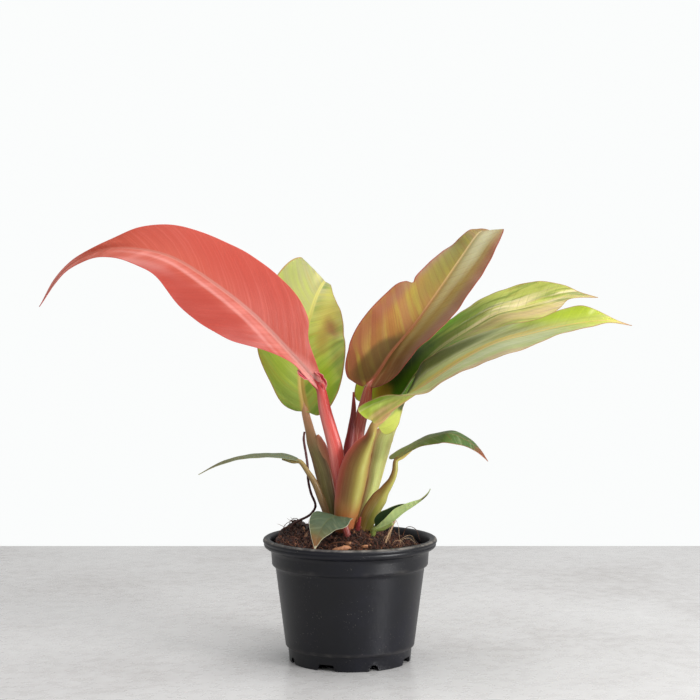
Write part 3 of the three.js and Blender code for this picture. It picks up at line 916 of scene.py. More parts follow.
@dataclass
class Stalk:
    """A stalk, sheath, bract or root: a curve with a width, and a section that opens where it is wide."""

    name: str
    slot: str
    finish: StalkFinish
    path: Table
    deep: float
    bow: float = 0.0
    ridge: float = 0.0
    wing: float = 1.0
    sides: int = 32
    span: int = 9
    knobs: float = 0.0
    knob_turns: tuple[float, float] = (1.9, 0.73)
    leaf: Blade | None = None
    under_leaf: tuple[float, float] = (12.0, 4.0)
    sunk: tuple[float, float] = (1.7, 1.9)
    narrowed: tuple[float, float] = (0.55, 0.85)
    ridge_width: float = 0.42

    def stations(self) -> np.ndarray:
        """Lists the path's points and widths, led on under the leaf's midrib where it carries one.

        Returns:
            Rows of x, y, z and width in millimetres.
        """
        path = np.asarray(self.path, float)
        if self.leaf is None:
            return path
        point, up, _ = Rib(self.leaf.rib, self.leaf.faces).frames(np.array(self.under_leaf))
        spots = point - up * np.array(self.sunk)[:, None]
        widths = np.array(self.narrowed)[:, None] * path[0, 3]
        return np.vstack([np.hstack([spots, widths]), path])

    def build(self) -> bpy.types.Object:
        """Makes the stalk's mesh and finish.

        Returns:
            The stalk.
        """
        stations = self.stations()
        places = np.linspace(0.0, 1.0, self.span * (len(stations) - 1) + 1)
        spine = Spline(stations[:, :3]).at(places)
        width = eased(stations[:, 3], places)
        ahead = unit(np.gradient(spine, axis=0))
        wide = unit(np.cross(ahead, (0.0, -1.0, 0.0)))
        thin = unit(np.cross(wide, ahead))
        opened = np.clip((width - self.deep) / self.deep, 0.0, 1.0)
        deep = np.minimum(self.deep, width)
        across, front = np.cos(circle(self.sides)), np.sin(circle(self.sides))
        swell = self.wing + (1 - self.wing) * np.exp(-(((across - self.ridge) / self.ridge_width) ** 2))
        swell = 1 + (swell - 1) * opened[:, None]
        distance = np.concatenate([[0.0], np.cumsum(np.linalg.norm(np.diff(spine, axis=0), axis=1))])
        knob = 1 + self.knobs * np.sin(distance * self.knob_turns[0]) * np.sin(distance * self.knob_turns[1])
        side = knob[:, None] * width[:, None] / 2 * across
        depth = knob[:, None] * deep[:, None] / 2 * front * swell - self.bow * opened[:, None] * across ** 2
        rings = spine[:, None] + side[..., None] * wide[:, None] + depth[..., None] * thin[:, None]
        limb = np.stack(np.broadcast_arrays(places[:, None], across, front), 2)
        run = np.stack(np.broadcast_arrays(distance[:, None], side, depth), 2)
        caps = ((0.0, 0.0, 0.0), (1.0, 0.0, 0.0))
        shell = Shell()
        shell.add(
            np.vstack([rings.reshape(-1, 3), spine[:1], spine[-1:]]),
            tube_faces(*side.shape, turned=True),
            limb=np.vstack([limb.reshape(-1, 3), caps]),
            run=np.vstack([run.reshape(-1, 3), caps]),
        )
        return shell.piece(self.name, self.finish.material(self.name))


def lathe(profile: Table, segments: int, at: tuple = (0.0, 0.0)) -> tuple[np.ndarray, np.ndarray]:
    """Turns a closed profile round the Z axis.

    Args:
        profile: Radii and heights from the lower middle, round the outside, to the upper middle.
        segments: Sides of each ring.
        at: Where the axis stands.

    Returns:
        The points and the faces, with one point at each pole.
    """
    rings = np.asarray(profile[1:-1], float)
    x = rings[:, :1] * np.cos(circle(segments)) + at[0]
    y = rings[:, :1] * np.sin(circle(segments)) + at[1]
    z = np.broadcast_to(rings[:, 1:], x.shape)
    poles = [(*at, profile[0][1]), (*at, profile[-1][1])]
    return np.vstack([np.stack([x, y, z], 2).reshape(-1, 3), poles]), tube_faces(len(rings), segments)


def baked(piece: bpy.types.Object) -> bpy.types.Object:
    """Turns a piece's modifiers into a plain mesh.

    Args:
        piece: The piece with its modifiers.

    Returns:
        The same piece, with no modifiers left.
    """
    seen = piece.evaluated_get(bpy.context.evaluated_depsgraph_get())
    mesh = bpy.data.meshes.new_from_object(seen)
    mesh.name = piece.name
    piece.modifiers.clear()
    piece.data = mesh
    return piece


@dataclass(frozen=True)
class PlasticFinish:
    """Black moulded plastic with dust on its ledges, dust and a painted highlight on the lip's outer top,
    fine scuffs and dried water marks.

    Each band is four heights in metres: where the dust starts, is full, starts to end and ends. The scales
    count swells in a metre, and a pair of limits says where a share starts and where it is full.
    """

    ground: str = "0 #03040a, 60 #050610, 100 #090a17"
    dust: str = "#8d8780"
    specks: float = 0.3
    ledge: tuple[float, ...] = (0.0640, 0.0660, 0.0672, 0.0690)
    ledge_share: float = 0.14
    seam: tuple[float, ...] = (0.0095, 0.0105, 0.0112, 0.0130)
    seam_share: float = 0.1
    # The lip's outer top: one pale band that is dust and a painted highlight together.
    rim_height: tuple[float, float] = (0.0824, 0.0834)
    rim_radius: tuple[float, float] = (0.0578, 0.0586)
    rim_dust_and_sheen: float = 0.75
    gloss: float = 0.36
    roughness: float = 0.34
    dust_roughness: float = 0.4
    cloud_roughness: float = 0.12
    cloud_scale: float = 22.0
    cloud_limits: tuple[float, float] = (0.3, 0.75)
    speck_scale: float = 900.0
    speck_limits: tuple[float, float] = (0.66, 0.74)
    group_scale: float = 40.0
    group_limits: tuple[float, float] = (0.42, 0.62)
    gap_scale: float = 34.0
    gap_limits: tuple[float, float] = (0.4, 0.62)
    wisp_scale: float = 160.0
    wisp_limits: tuple[float, float] = (0.38, 0.7)
    wisp_share: float = 0.75
    relief: float = 0.00006

    def material(self, name: str) -> bpy.types.Material:
        """Wires the plastic.

        Args:
            name: The material's name.

        Returns:
            The material.
        """
        w = Surface(name)
        spot, x, y, z = w.place()
        cloud = w.noise(spot, self.cloud_scale, detail=4.0, rough=0.6)
        specks = w.step(w.noise(spot, self.speck_scale), *self.speck_limits, self.specks)
        specks = specks * w.step(w.noise(spot, self.group_scale), *self.group_limits)
        gaps = w.step(w.noise(spot, self.gap_scale), *self.gap_limits)
        wisp = w.step(w.noise(spot, self.wisp_scale, detail=4.0, rough=0.65), *self.wisp_limits)
        spread = w.vector("LENGTH", w.combine(x, y, 0.0))
        # The lip's pale band is dust and painted highlight together; the ledge and seam bands are dust.
        dust = w.step(z, *self.rim_height) * w.step(spread, *self.rim_radius) * self.rim_dust_and_sheen
        dust = dust + w.band(z, self.ledge) * gaps * self.ledge_share + w.band(z, self.seam) * self.seam_share
        dust = dust * (wisp * self.wisp_share + (1 - self.wisp_share))
        colour = w.ramp(w.step(cloud, *self.cloud_limits), self.ground)
        colour = w.mix(w.maths("MAXIMUM", dust, specks), colour, self.dust)
        w.bump(cloud * 3.0 + w.noise(spot, 300.0, detail=3.0), self.relief, 0.5)
        roughness = cloud * self.cloud_roughness + self.roughness + dust * self.dust_roughness
        return w.finish(colour, roughness, Specular_IOR_Level=self.gloss)


@dataclass
class Pot:
    """The black nursery pot: a tapered cup with a step, a rolled lip, a foot ring and drain notches."""

    finish: PlasticFinish = PlasticFinish()
    segments: int = 192
    outside: Table = (
        (0, 0), (30, 0), (30.4, 0.3), (32, 4.4), (39.6, 4.4), (40.1, 0.3), (40.5, 0), (41.4, 0), (41.8, 0.4),
        (42.5, 8.8), (42.9, 9.6), (44.1, 10.4), (44.45, 11.0), (44.5, 11.8), (44.62, 12.6), (51.2, 62.6),
        (51.5, 64.0), (52.2, 64.8), (53.4, 65.5), (53.8, 66.2), (53.85, 67.2), (54.3, 73.4), (54.6, 75.5),
        (55.2, 76.1), (57.6, 77.2), (58.7, 78.0), (59.2, 78.7), (59.4, 79.6), (59.15, 80.3), (59.55, 80.9),
        (60.0, 81.7), (60.0, 82.3), (59.6, 83.3), (58.7, 83.9), (57.6, 84.0), (56.4, 83.8),
    )
    inside: Table = (
        (55.4, 83.4), (54.8, 82.4), (54.5, 81.0), (53.0, 75.0), (52.1, 67.2), (51.4, 65.4), (49.8, 64.0),
        (42.9, 12.0), (42.4, 8.0), (40.8, 6.4), (31, 6.4), (29, 2), (0, 2),
    )
    wide_angle: float = -22.5
    wide_foot: float = 13.0
    wide_top: float = 10.0
    narrow_radius: float = 3.2
    narrow_height: float = 1.2
    notch: float = 4.4
    inner: float = 35.0
    outer: float = 50.0
    sharp_angle: float = 38.0

    def cutter(self, outline: list[tuple[float, float]], angle: float) -> list[Place]:
        """Places one notch's outline at the inner and the outer end of its cut.

        Args:
            outline: Sideways places and heights of the notch.
            angle: The side of the pot that it is cut in, in degrees from -Y.

        Returns:
            The points of the inner end and then of the outer end, in metres.
        """
        cos, sin = math.cos(math.radians(angle)), math.sin(math.radians(angle))
        return [
            ((x * cos + reach * sin) * MM, (x * sin - reach * cos) * MM, z * MM)
            for reach in (self.inner, self.outer)
            for x, z in outline
        ]

    def notches(self) -> bpy.types.Object:
        """Makes the solid that the drain notches are cut with.

        Returns:
            A helper, to be removed after the cut.
        """
        foot, top, radius = self.wide_foot / 2, self.wide_top / 2, self.narrow_radius
        wide = [(-foot, -1.0), (foot, -1.0), (foot, 1.0), (top, self.notch), (-top, self.notch), (-foot, 1.0)]
        arch = [math.radians(a) for a in range(0, 181, 30)]
        narrow = [(-radius, -1.0), (radius, -1.0)]
        narrow += [(radius * math.cos(a), self.narrow_height + radius * math.sin(a)) for a in arch]
        points: list[Place] = []
        faces: list[list[int]] = []
        for quarter in range(4):
            for outline, start in ((wide, self.wide_angle), (narrow, self.wide_angle + 45)):
                count, first = len(outline), len(points)
                points += self.cutter(outline, start + 90 * quarter)
                faces.append([first + k for k in reversed(range(count))])
                faces.append([first + count + k for k in range(count)])
                for k in range(count):
                    after = (k + 1) % count
                    faces.append([first + k, first + after, first + count + after, first + count + k])
        mesh = bpy.data.meshes.new("drain_cutter")
        mesh.from_pydata(points, [], faces)
        return linked("drain_cutter", mesh)

    def build(self) -> bpy.types.Object:
        """Makes the pot.

        Returns:
            The pot.
        """
        shell = Shell()
        shell.add(*lathe(self.outside + self.inside, self.segments))
        pot = shell.piece("nursery_pot", self.finish.material("black_plastic"))
        cutter = self.notches()
        cut = pot.modifiers.new("drain", "BOOLEAN")
        cut.operation = "DIFFERENCE"
        cut.object = cutter
        baked(pot)
        bpy.data.objects.remove(cutter)
        pot.data.shade_smooth()
        pot.data.set_sharp_from_angle(angle=math.radians(self.sharp_angle))
        return pot


@dataclass(frozen=True)
class SoilFinish:
    """Moist dark potting mix with pale and dark grit in it.

    A row of limits says where a share starts and where it is full, and its third number is the most of it.
    """

    tones: str = "0 #100604, 42 #241009, 60 #3e1b10, 78 #4c2618, 100 #3e2a1a"
    pale_grit: str = "#8a6a45"
    dark_grit: str = "#120a08"
    cloud_scale: float = 90.0
    cloud_limits: tuple[float, float] = (0.2, 0.85)
    grit_scale: float = 900.0
    pale_limits: Place = (0.6, 0.72, 0.5)
    dark_limits: Place = (0.42, 0.3, 0.75)
    roughness: float = 0.45
    cloud_roughness: float = 0.4
    relief: float = 0.0008

    def material(self, name: str) -> bpy.types.Material:
        """Wires the mix.

        Args:
            name: The material's name.

        Returns:
            The material.
        """
        w = Surface(name)
        spot = w.place()[0]
        cloud = w.noise(spot, self.cloud_scale, detail=4.0, rough=0.6)
        grit = w.noise(spot, self.grit_scale, detail=3.0, rough=0.65)
        colour = w.ramp(w.step(cloud, *self.cloud_limits), self.tones)
        colour = w.mix(w.step(grit, *self.pale_limits), colour, self.pale_grit)
        colour = w.mix(w.step(grit, *self.dark_limits), colour, self.dark_grit)
        w.bump(grit, self.relief, 0.8)
        return w.finish(colour, cloud * self.cloud_roughness + self.roughness)


@dataclass
class Soil:
    """The potting mix: its lumpy surface, and the body under it.

    Each hill is a height, a spread and a place, and each octave of lumps is a height and a size.
    """

    finish: SoilFinish = SoilFinish()
    rim: float = 51.4
    level: float = 81.0
    rings: int = 96
    segments: int = 220
    hills: Table = ((12.0, 20.0, 1.0, -3.0), (9.0, 17.0, -38.0, 26.0), (-5.0, 22.0, 42.0, 8.0))
    octaves: Table = ((0.9, 9.0), (0.7, 4.2), (0.45, 2.0), (0.25, 1.0))
    octave_gap: float = 7.3
    swell: float = 0.7
    crowding: float = 0.85
    wall: Table = ((40.0, 7.2), (48.9, 63.2))

    def height(self, x: np.ndarray, y: np.ndarray, fine: bool = True) -> np.ndarray:
        """Works out the height of the soil.

        Args:
            x: Places across, in millimetres.
            y: Places in depth, in millimetres.
            fine: True to add the lumps.

        Returns:
            The heights.
        """
        z = np.full_like(x, self.level)
        for rise, spread, at_x, at_y in self.hills:
            z = z + rise * np.exp(-((x - at_x) ** 2 + (y - at_y) ** 2) / spread ** 2)
        z = z + self.swell * (np.sin(0.41 * x + 1.3) * np.cos(0.37 * y) + np.sin(0.23 * (x + 1.7 * y)))
        if fine:
            for number, (size, pitch) in enumerate(self.octaves):
                spots = zip(x.ravel() / pitch, y.ravel() / pitch)
                lumps = [mathutils.noise.noise(Vector((*spot, self.octave_gap * number))) for spot in spots]
                z = z + size * np.array(lumps).reshape(x.shape)
        return z

    def build(self) -> bpy.types.Object:
        """Makes the body of soil.

        Returns:
            The soil.
        """
        radius = self.rim * (np.linspace(0.0, 1.0, self.rings + 1)[1:] ** self.crowding)[::-1, None]
        turn = np.stack([np.cos(circle(self.segments)), np.sin(circle(self.segments))])
        x, y = radius * turn[0], radius * turn[1]
        rings = [np.stack([r * turn[0], r * turn[1], np.full(self.segments, h)], 1) for r, h in self.wall]
        rings += list(np.stack([x, y, self.height(x, y)], 2))
        top = float(self.height(np.zeros(1), np.zeros(1))[0])
        points = np.vstack([*rings, [[0, 0, self.wall[0][1]], [0, 0, top]]])
        shell = Shell()
        shell.add(points, tube_faces(len(rings), self.segments))
        return shell.piece("potting_mix", self.finish.material("moist_potting_mix"))


@dataclass(frozen=True)
class CrumbFinish:
    """The colours of loose bits that lie on the soil, each bit with a tone of its own."""

    tones: str
    roughness: float = 0.75
    grain_scale: float = 700.0
    grain_share: float = 0.45
    gloss_change: float = 0.2
    relief: float = 0.0005

    def material(self, name: str) -> bpy.types.Material:
        """Wires the bits' surface.

        Args:
            name: The material's name.

        Returns:
            The material.
        """
        w = Surface(name)
        grain = w.noise(w.place()[0], self.grain_scale, detail=3.0, rough=0.6)
        tone = w.node("ShaderNodeAttribute", {}, "Fac", attribute_name="tone")
        w.bump(grain, self.relief, 0.6)
        colour = w.ramp((grain - 0.5) * self.grain_share + tone, self.tones)
        return w.finish(colour, grain * self.gloss_change + (self.roughness - self.gloss_change / 2))


@dataclass
class Scatter:
    """Loose bits that Geometry Nodes strew over the soil: lumps, or bent fibres if they have an arc."""

    name: str
    finish: CrumbFinish
    density: float
    low: Place
    high: Place
    tilt: float
    seed: int
    arc: float = 0.0
    rim: float = 49.0
    cells: int = 61
    lump: Table = ((0, -1), (0.62, -0.8), (0.98, -0.15), (0.86, 0.45), (0.5, 0.88), (0, 1))
    lump_sides: int = 7
    taper: tuple[float, ...] = (0.3, 0.8, 1, 1, 1, 0.9, 0.7, 0.2)
    rough: tuple[float, float] = (0.78, 1.15)
    fibre_radius: float = 0.045
    fibre_sides: int = 5
    fibre_curl: float = 0.12
    fibre_sway: float = 0.1

    def fibre(self) -> tuple[np.ndarray, np.ndarray]:
        """Bends one thin fibre.

        Returns:
            The points and the faces.
        """
        turn = np.linspace(-self.arc, self.arc, len(self.taper))
        sag = np.cos(turn) - 1 + self.fibre_curl * np.sin(3 * turn)
        spine = np.stack([np.sin(turn), sag, self.fibre_sway * np.sin(2 * turn)], 1)
        angle = circle(self.fibre_sides)
        ring = np.stack([np.zeros_like(angle), np.cos(angle), np.sin(angle)], 1) * self.fibre_radius
        points = (spine[:, None] + ring[None] * np.array(self.taper)[:, None, None]).reshape(-1, 3)
        return np.vstack([points, spine[:1], spine[-1:]]), tube_faces(len(self.taper), self.fibre_sides)

    def template(self) -> bpy.types.Object:
        """Makes the one bit that is repeated.

        Returns:
            A helper, to be removed after the scatter.
        """
        shell = Shell()
        if self.arc:
            shell.add(*self.fibre())
        else:
            points, faces = lathe(self.lump, self.lump_sides)
            rough = np.random.default_rng(self.seed).uniform(*self.rough, (len(points), 1))
            shell.add(points * rough, faces)
        made = shell.piece(f"{self.name}_bit", bpy.data.materials.new(f"{self.name}_bare"))
        if not self.arc:
            made.data.shade_flat()
        return made

    def tree(self, bit: bpy.types.Object, material: bpy.types.Material) -> bpy.types.GeometryNodeTree:
        """Builds the node tree that strews the bits.

        Args:
            bit: The bit that is repeated.
            material: The finish of the bits.

        Returns:
            The tree.
        """
        tree = bpy.data.node_groups.new(f"{self.name}_strewn", "GeometryNodeTree")
        kinds = {
            "Geometry": "Geometry", "Density": "Float", "Smallest": "Vector", "Largest": "Vector",
            "Tilt": "Float", "Seed": "Int",
        }
        for label, kind in kinds.items():
            tree.interface.new_socket(label, in_out="INPUT", socket_type=f"NodeSocket{kind}")
        tree.interface.new_socket("Geometry", in_out="OUTPUT", socket_type="NodeSocketGeometry")
        w = Wires(tree)
        group = tree.nodes.new("NodeGroupInput").outputs
        bed, density, smallest, largest, tilt, seed = (Value(w, group[label]) for label in kinds)
        spread = {"Mesh": bed, "Density": density, "Seed": seed}
        points = w.node("GeometryNodeDistributePointsOnFaces", spread, "Points")
        shape = w.node("GeometryNodeObjectInfo", {"Object": bit}, "Geometry")
        limits = {0: smallest, 1: largest, "Seed": seed}
        size = w.node("FunctionNodeRandomValue", limits, data_type="FLOAT_VECTOR")
        lean = w.combine(tilt, tilt, math.pi)
        back = w.vector("MULTIPLY", lean, (-1.0, -1.0, -1.0))
        turn = w.node("FunctionNodeRandomValue", {0: back, 1: lean}, data_type="FLOAT_VECTOR")
        each = {"Points": points, "Instance": shape, "Rotation": turn, "Scale": size}
        bits = w.node("GeometryNodeInstanceOnPoints", each)
        toned = {"Geometry": bits, "Name": "tone", "Value": w.node("FunctionNodeRandomValue", {}, 1)}
        bits = w.node("GeometryNodeStoreNamedAttribute", toned, domain="INSTANCE")
        bits = w.node("GeometryNodeRealizeInstances", {"Geometry": bits})
        bits = w.node("GeometryNodeSetMaterial", {"Geometry": bits, "Material": material})
        w.join(bits, tree.nodes.new("NodeGroupOutput").inputs["Geometry"])
        return tree

    def build(self, soil: Soil) -> bpy.types.Object:
        """Strews the bits over the soil.

        Args:
            soil: The soil that they lie on.

        Returns:
            The piece that holds all of them.
        """
        side = np.linspace(-self.rim, self.rim, self.cells)
        x, y = np.meshgrid(side, side, indexing="ij")
        points = np.stack([x, y, soil.height(x, y, fine=False)], 2).reshape(-1, 3)
        faces = grid_faces(self.cells, self.cells, False)
        middle = points[:, :2][faces].mean(1)
        bed = Shell()
        bed.add(points, faces[np.linalg.norm(middle, axis=1) < self.rim])
        material = self.finish.material(self.name)
        piece = bed.piece(self.name, material)
        bit = self.template()
        strewn = piece.modifiers.new("strewn", "NODES")
        strewn.node_group = self.tree(bit, material)
        wanted = {
            "Density": self.density, "Smallest": self.low, "Largest": self.high, "Tilt": self.tilt,
            "Seed": self.seed,
        }
        for item in strewn.node_group.interface.items_tree:
            if item.in_out == "INPUT" and item.name in wanted:
                strewn[item.identifier] = wanted[item.name]
        baked(piece)
        bpy.data.objects.remove(bit)
        return piece


@dataclass
class Threads:
    """Fine loose roots or fibres that arch out of the soil."""

    name: str
    slot: str
    finish: StalkFinish
    paths: tuple[Table, ...]
    radius: float
    sides: int = 7
    span: int = 7
    end_share: float = 0.45
    aside: Place = (0.31, -0.9, 0.27)

    def thread(self, shell: Shell, path: Table) -> None:
        """Draws one thread, thinner at its ends.

        Args:
            shell: Where the thread goes.
            path: The points that it passes.
        """
        places = np.linspace(0.0, 1.0, self.span * (len(path) - 1) + 1)
        spine = Spline(path).at(places)
        ahead = unit(np.gradient(spine, axis=0))
        wide = unit(np.cross(ahead, self.aside))
        thin = np.cross(wide, ahead)
        angle = circle(self.sides)[None, :, None]
        bulge = np.sin(np.pi * np.clip(places, 0.04, 0.96)) ** 0.5
        taper = self.radius * (self.end_share + (1 - self.end_share) * bulge)
        rings = np.cos(angle) * wide[:, None] + np.sin(angle) * thin[:, None]
        rings = spine[:, None] + taper[:, None, None] * rings
        points = np.vstack([rings.reshape(-1, 3), spine[:1], spine[-1:]])
        limb = np.zeros((len(points), 3))
        limb[:, 0] = np.append(np.repeat(places, self.sides), [0.0, 1.0])
        shell.add(points, tube_faces(len(places), self.sides, turned=True), limb=limb, run=points)

    def build(self) -> bpy.types.Object:
        """Makes all the threads as one piece.

        Returns:
            The piece.
        """
        shell = Shell()
        for path in self.paths:
            self.thread(shell, path)
        return shell.piece(self.name, self.finish.material(self.name))


@dataclass
class Chips:
    """The few large tan bark chips on the soil at the front, each a place, a size, a thickness and a turn."""

    finish: CrumbFinish = CrumbFinish("0 #3c1e12, 45 #7a4228, 80 #9c6444, 100 #b8845c", 0.6)
    places: Table = (
        (-6, -44.0, 82.4, 7.0, 2.2, 5), (-1, -34, 84.6, 2.8, 1.2, -35), (10, -38, 83.4, 2.6, 1.2, 20),
        (-24, -37, 82.6, 2.6, 1.2, 60),
    )
    lump: Table = ((0, -1), (0.7, -0.8), (1.0, -0.1), (0.9, 0.5), (0.55, 0.85), (0, 1))
    sides: int = 11
    seed: int = 21
    rough: tuple[float, float] = (0.7, 1.2)
    flat: float = 0.5
    lean: tuple[float, float] = (0.18, 0.25)
    tones: tuple[float, float] = (0.55, 0.95)

    def build(self) -> bpy.types.Object:
        """Makes the chips as one piece.

        Returns:
            The piece.
        """
        random = np.random.default_rng(self.seed)
        shell = Shell()
        for x, y, z, size, thick, turn in self.places:
            points, faces = lathe(self.lump, self.sides)
            points = points * random.uniform(*self.rough, (len(points), 1)) * (size, size * self.flat, thick)
            cos, sin = math.cos(math.radians(turn)), math.sin(math.radians(turn))
            tilted = points @ np.array([[cos, sin, 0], [-sin, cos, 0], [0, 0, 1]])
            tilted[:, 2] += self.lean[0] * tilted[:, 0] - self.lean[1] * tilted[:, 1]
            tone = np.full((len(points), 3), random.uniform(*self.tones))
            shell.add(tilted + (x, y, z), faces, tone=tone)
        return shell.piece("tan_chips", self.finish.material("tan_bark"))


@dataclass(frozen=True)
class StemFinish:
    """Dull brown and olive stem tissue with faint rings."""

    tones: str = "20 #4a3420, 50 #6d5a3a, 80 #7f7140"
    cloud_scale: float = 120.0
    rings_per_metre: float = 420.0
    ring_share: float = 0.4
    roughness: float = 0.5
    gloss_change: float = 0.2
    relief: float = 0.0006

    def material(self, name: str) -> bpy.types.Material:
        """Wires the stem's surface.

        Args:
            name: The material's name.

        Returns:
            The material.
        """
        w = Surface(name)
        spot, _, _, z = w.place()
        cloud = w.noise(spot, self.cloud_scale, detail=3.0)
        rings = w.noise(w.combine(0.0, 0.0, z * self.rings_per_metre), 1.0, detail=1.0)
        w.bump(rings, self.relief)
        tone = cloud * (1 - self.ring_share) + rings * self.ring_share
        return w.finish(w.ramp(tone, self.tones), cloud * self.gloss_change + self.roughness)


@dataclass
class Stem:
    """The short stem in the middle of the sheaths."""

    finish: StemFinish = StemFinish()
    at: tuple[float, float] = (1.0, -3.0)
    profile: Table = (
        (0, 46), (7.6, 46.2), (8.2, 47.5), (11.6, 60), (11.9, 82), (11.2, 86), (8.8, 88.4), (0, 89),
    )
    segments: int = 40

    def build(self) -> bpy.types.Object:
        """Makes the stem.

        Returns:
            The stem.
        """
        shell = Shell()
        shell.add(*lathe(self.profile, self.segments, self.at))
        return shell.piece("short_stem", self.finish.material("stem_tissue"))


@dataclass(frozen=True)
class StoneFinish:
    """Pale, faintly clouded stone."""

    tones: str = "30 #bcb8b6, 50 #d2d0cf, 70 #dddcdb"
    cloud_scale: float = 5.0
    grain_scale: float = 90.0
    grain_share: float = 0.3
    roughness: float = 0.2
    gloss_change: float = 0.16

    def material(self, name: str) -> bpy.types.Material:
        """Wires the stone.

        Args:
            name: The material's name.

        Returns:
            The material.
        """
        w = Surface(name)
        spot = w.place()[0]
        cloud = w.noise(spot, self.cloud_scale, detail=5.0, rough=0.6)
        grain = w.noise(spot, self.grain_scale, detail=4.0, rough=0.6)
        tone = cloud * (1 - self.grain_share) + grain * self.grain_share
        return w.finish(w.ramp(tone, self.tones), grain * self.gloss_change + self.roughness)


@dataclass(frozen=True)
class Softbox:
    """One square soft light: its place and side in metres, and its power in watts."""

    name: str
    at: Place
    size: float
    power: float
    aim: Place = (0.0, 0.0, 0.14)

    def hang(self) -> None:
        """Hangs the light so that it looks at the plant."""
        data = bpy.data.lights.new(self.name, "AREA")
        data.size = self.size
        data.energy = self.power
        lamp = linked(self.name, data)
        lamp.location = self.at
        lamp.rotation_euler = (Vector(self.aim) - Vector(self.at)).to_track_quat("-Z", "Y").to_euler()


@dataclass
class Studio:
    """The pale table, the soft light and the camera."""

    eye: Place = (0.0, -1.138, 0.2577)
    focal_px: float = 1648.0
    picture_px: float = 700.0
    sensor: float = 36.0
    horizon_px: float = 285.3
    near_clip: float = 0.02
    back_edge: float = 0.491
    reach: float = 4.0
    stone: StoneFinish = StoneFinish()
    air: tuple[float, float, float, float] = (0.965, 0.978, 0.975, 1.0)
    ambient: float = 0.5
    lights: tuple[Softbox, ...] = (
        Softbox("key", (0.3, 0.12, 1.35), 1.1, 11.0),
        Softbox("side", (1.15, -0.85, 0.34), 0.5, 19.5),
        Softbox("front", (0.4, -1.3, 1.3), 0.9, 7.0),
    )

    def camera(self) -> None:
        """Places the camera where the photographer stood."""
        data = bpy.data.cameras.new("camera")
        data.sensor_width = self.sensor
        data.lens = self.sensor * self.focal_px / self.picture_px
        data.shift_y = (self.horizon_px - self.picture_px / 2) / self.picture_px
        data.clip_start = self.near_clip
        camera = linked("camera", data)
        camera.location = self.eye
        camera.rotation_euler = (math.pi / 2, 0.0, 0.0)
        bpy.context.scene.camera = camera

    def table(self) -> bpy.types.Object:
        """Makes the table top.

        Returns:
            The table top.
        """
        mesh = bpy.data.meshes.new("table_top")
        near, far, wide = -self.reach, self.back_edge, self.reach
        corners = [(-wide, near, 0), (wide, near, 0), (wide, far, 0), (-wide, far, 0)]
        mesh.from_pydata(corners, [], [(0, 1, 2, 3)])
        mesh.materials.append(self.stone.material("pale_stone"))
        return linked("table_top", mesh)

    def world(self) -> None:
        """Sets the near-white room, which lights the plant less than it looks bright."""
        world = bpy.data.worlds.new("studio")
        world.use_nodes = True
        w = Wires(world.node_tree)
        soft = w.node("ShaderNodeBackground", {"Color": self.air, "Strength": self.ambient})
        seen = w.node("ShaderNodeBackground", {"Color": self.air})
        watched = w.node("ShaderNodeLightPath", {}, "Is Camera Ray")
        mixed = w.node("ShaderNodeMixShader", {0: watched, 1: soft, 2: seen})
        w.join(mixed, world.node_tree.nodes["World Output"].inputs["Surface"])
        bpy.context.scene.world = world

    def build(self) -> list[bpy.types.Object]:
        """Sets up the whole studio.

        Returns:
            The pieces that aren't part of the plant.
        """
        self.camera()
        self.world()
        for light in self.lights:
            light.hang()
        bpy.context.scene.view_settings.view_transform = "Standard"
        return [self.table()]


# The finishes of the leaf blades, with their spots placed on the blade laid flat.
CORAL_LEAF = LeafFinish(
    ground="0 #a6463c, 10 #a84a3c, 30 #ae4e40, 50 #b65643, 70 #b3503c, 88 #bc6250, 100 #d07868",
    rib="0 #b8827a, 30 #b87a70, 55 #b26a5c, 80 #b45c4a, 100 #cc786a",
    rib_half=(2.8, 0.6),
    margin="#b84a42",
    under="#d98a7c",
    vein="#a83c2e",
    vein_strength=0.2,
    margin_width=0.6,
    mottle=0.15,
    streaks=(
        Streak("#e48678", 0.24, 3.2, 60.0, 0.46, 0.74),
        Streak("#b3402f", 0.22, 5.5, 60.0, 0.46, 0.74, shift=8.0),
        # Pale pink stripes on the left half: partly the blade's own stripes and partly painted sheen.
        Streak("#e69488", 0.3, 12.0, 50.0, 0.4, 0.7, half=Half.LEFT, shift=3.0),
    ),
    patches=(
        # Painted sheen: the next four spots are pale pink painted highlights on the left half near the midrib
        # and the margin, and at the right margin near the foot.
        Patch(88, 4.2, 80, 2.4, "#e0988e", 0.35),
        Patch(154, 14, 32, 4.0, "#e8b4ac", 0.5),
        Patch(52, 12, 20, 4, "#d98a84", 0.3, turn=-25),
        Patch(34, -24, 24, 3.5, "#e8a8a0", 0.5, turn=-28),
        Patch(10, 0, 22, 6.0, "#e2a49c", 0.5),
        Patch(110, -22, 90, 24, "#a8382c", 0.65),
        Patch(104, 22, 92, 19, "#9c362a", 0.9, soft=0.6),
        Patch(186, -2.2, 22, 2.4, "#943828", 0.6),
        # Painted sheen: a thin pale highlight beside the midrib on the left half.
        Patch(96, 6.5, 70, 1.6, "#e8b4ac", 0.3, turn=-2),
        # Painted light: lightens the drip tip, which lies in shade.
        Patch(228, 0, 30, 7, "#e08c80", 0.85, soft=0.7),
    ),
    roughness=0.38,
    tint=(1.0, 0.35, 0.25),
)
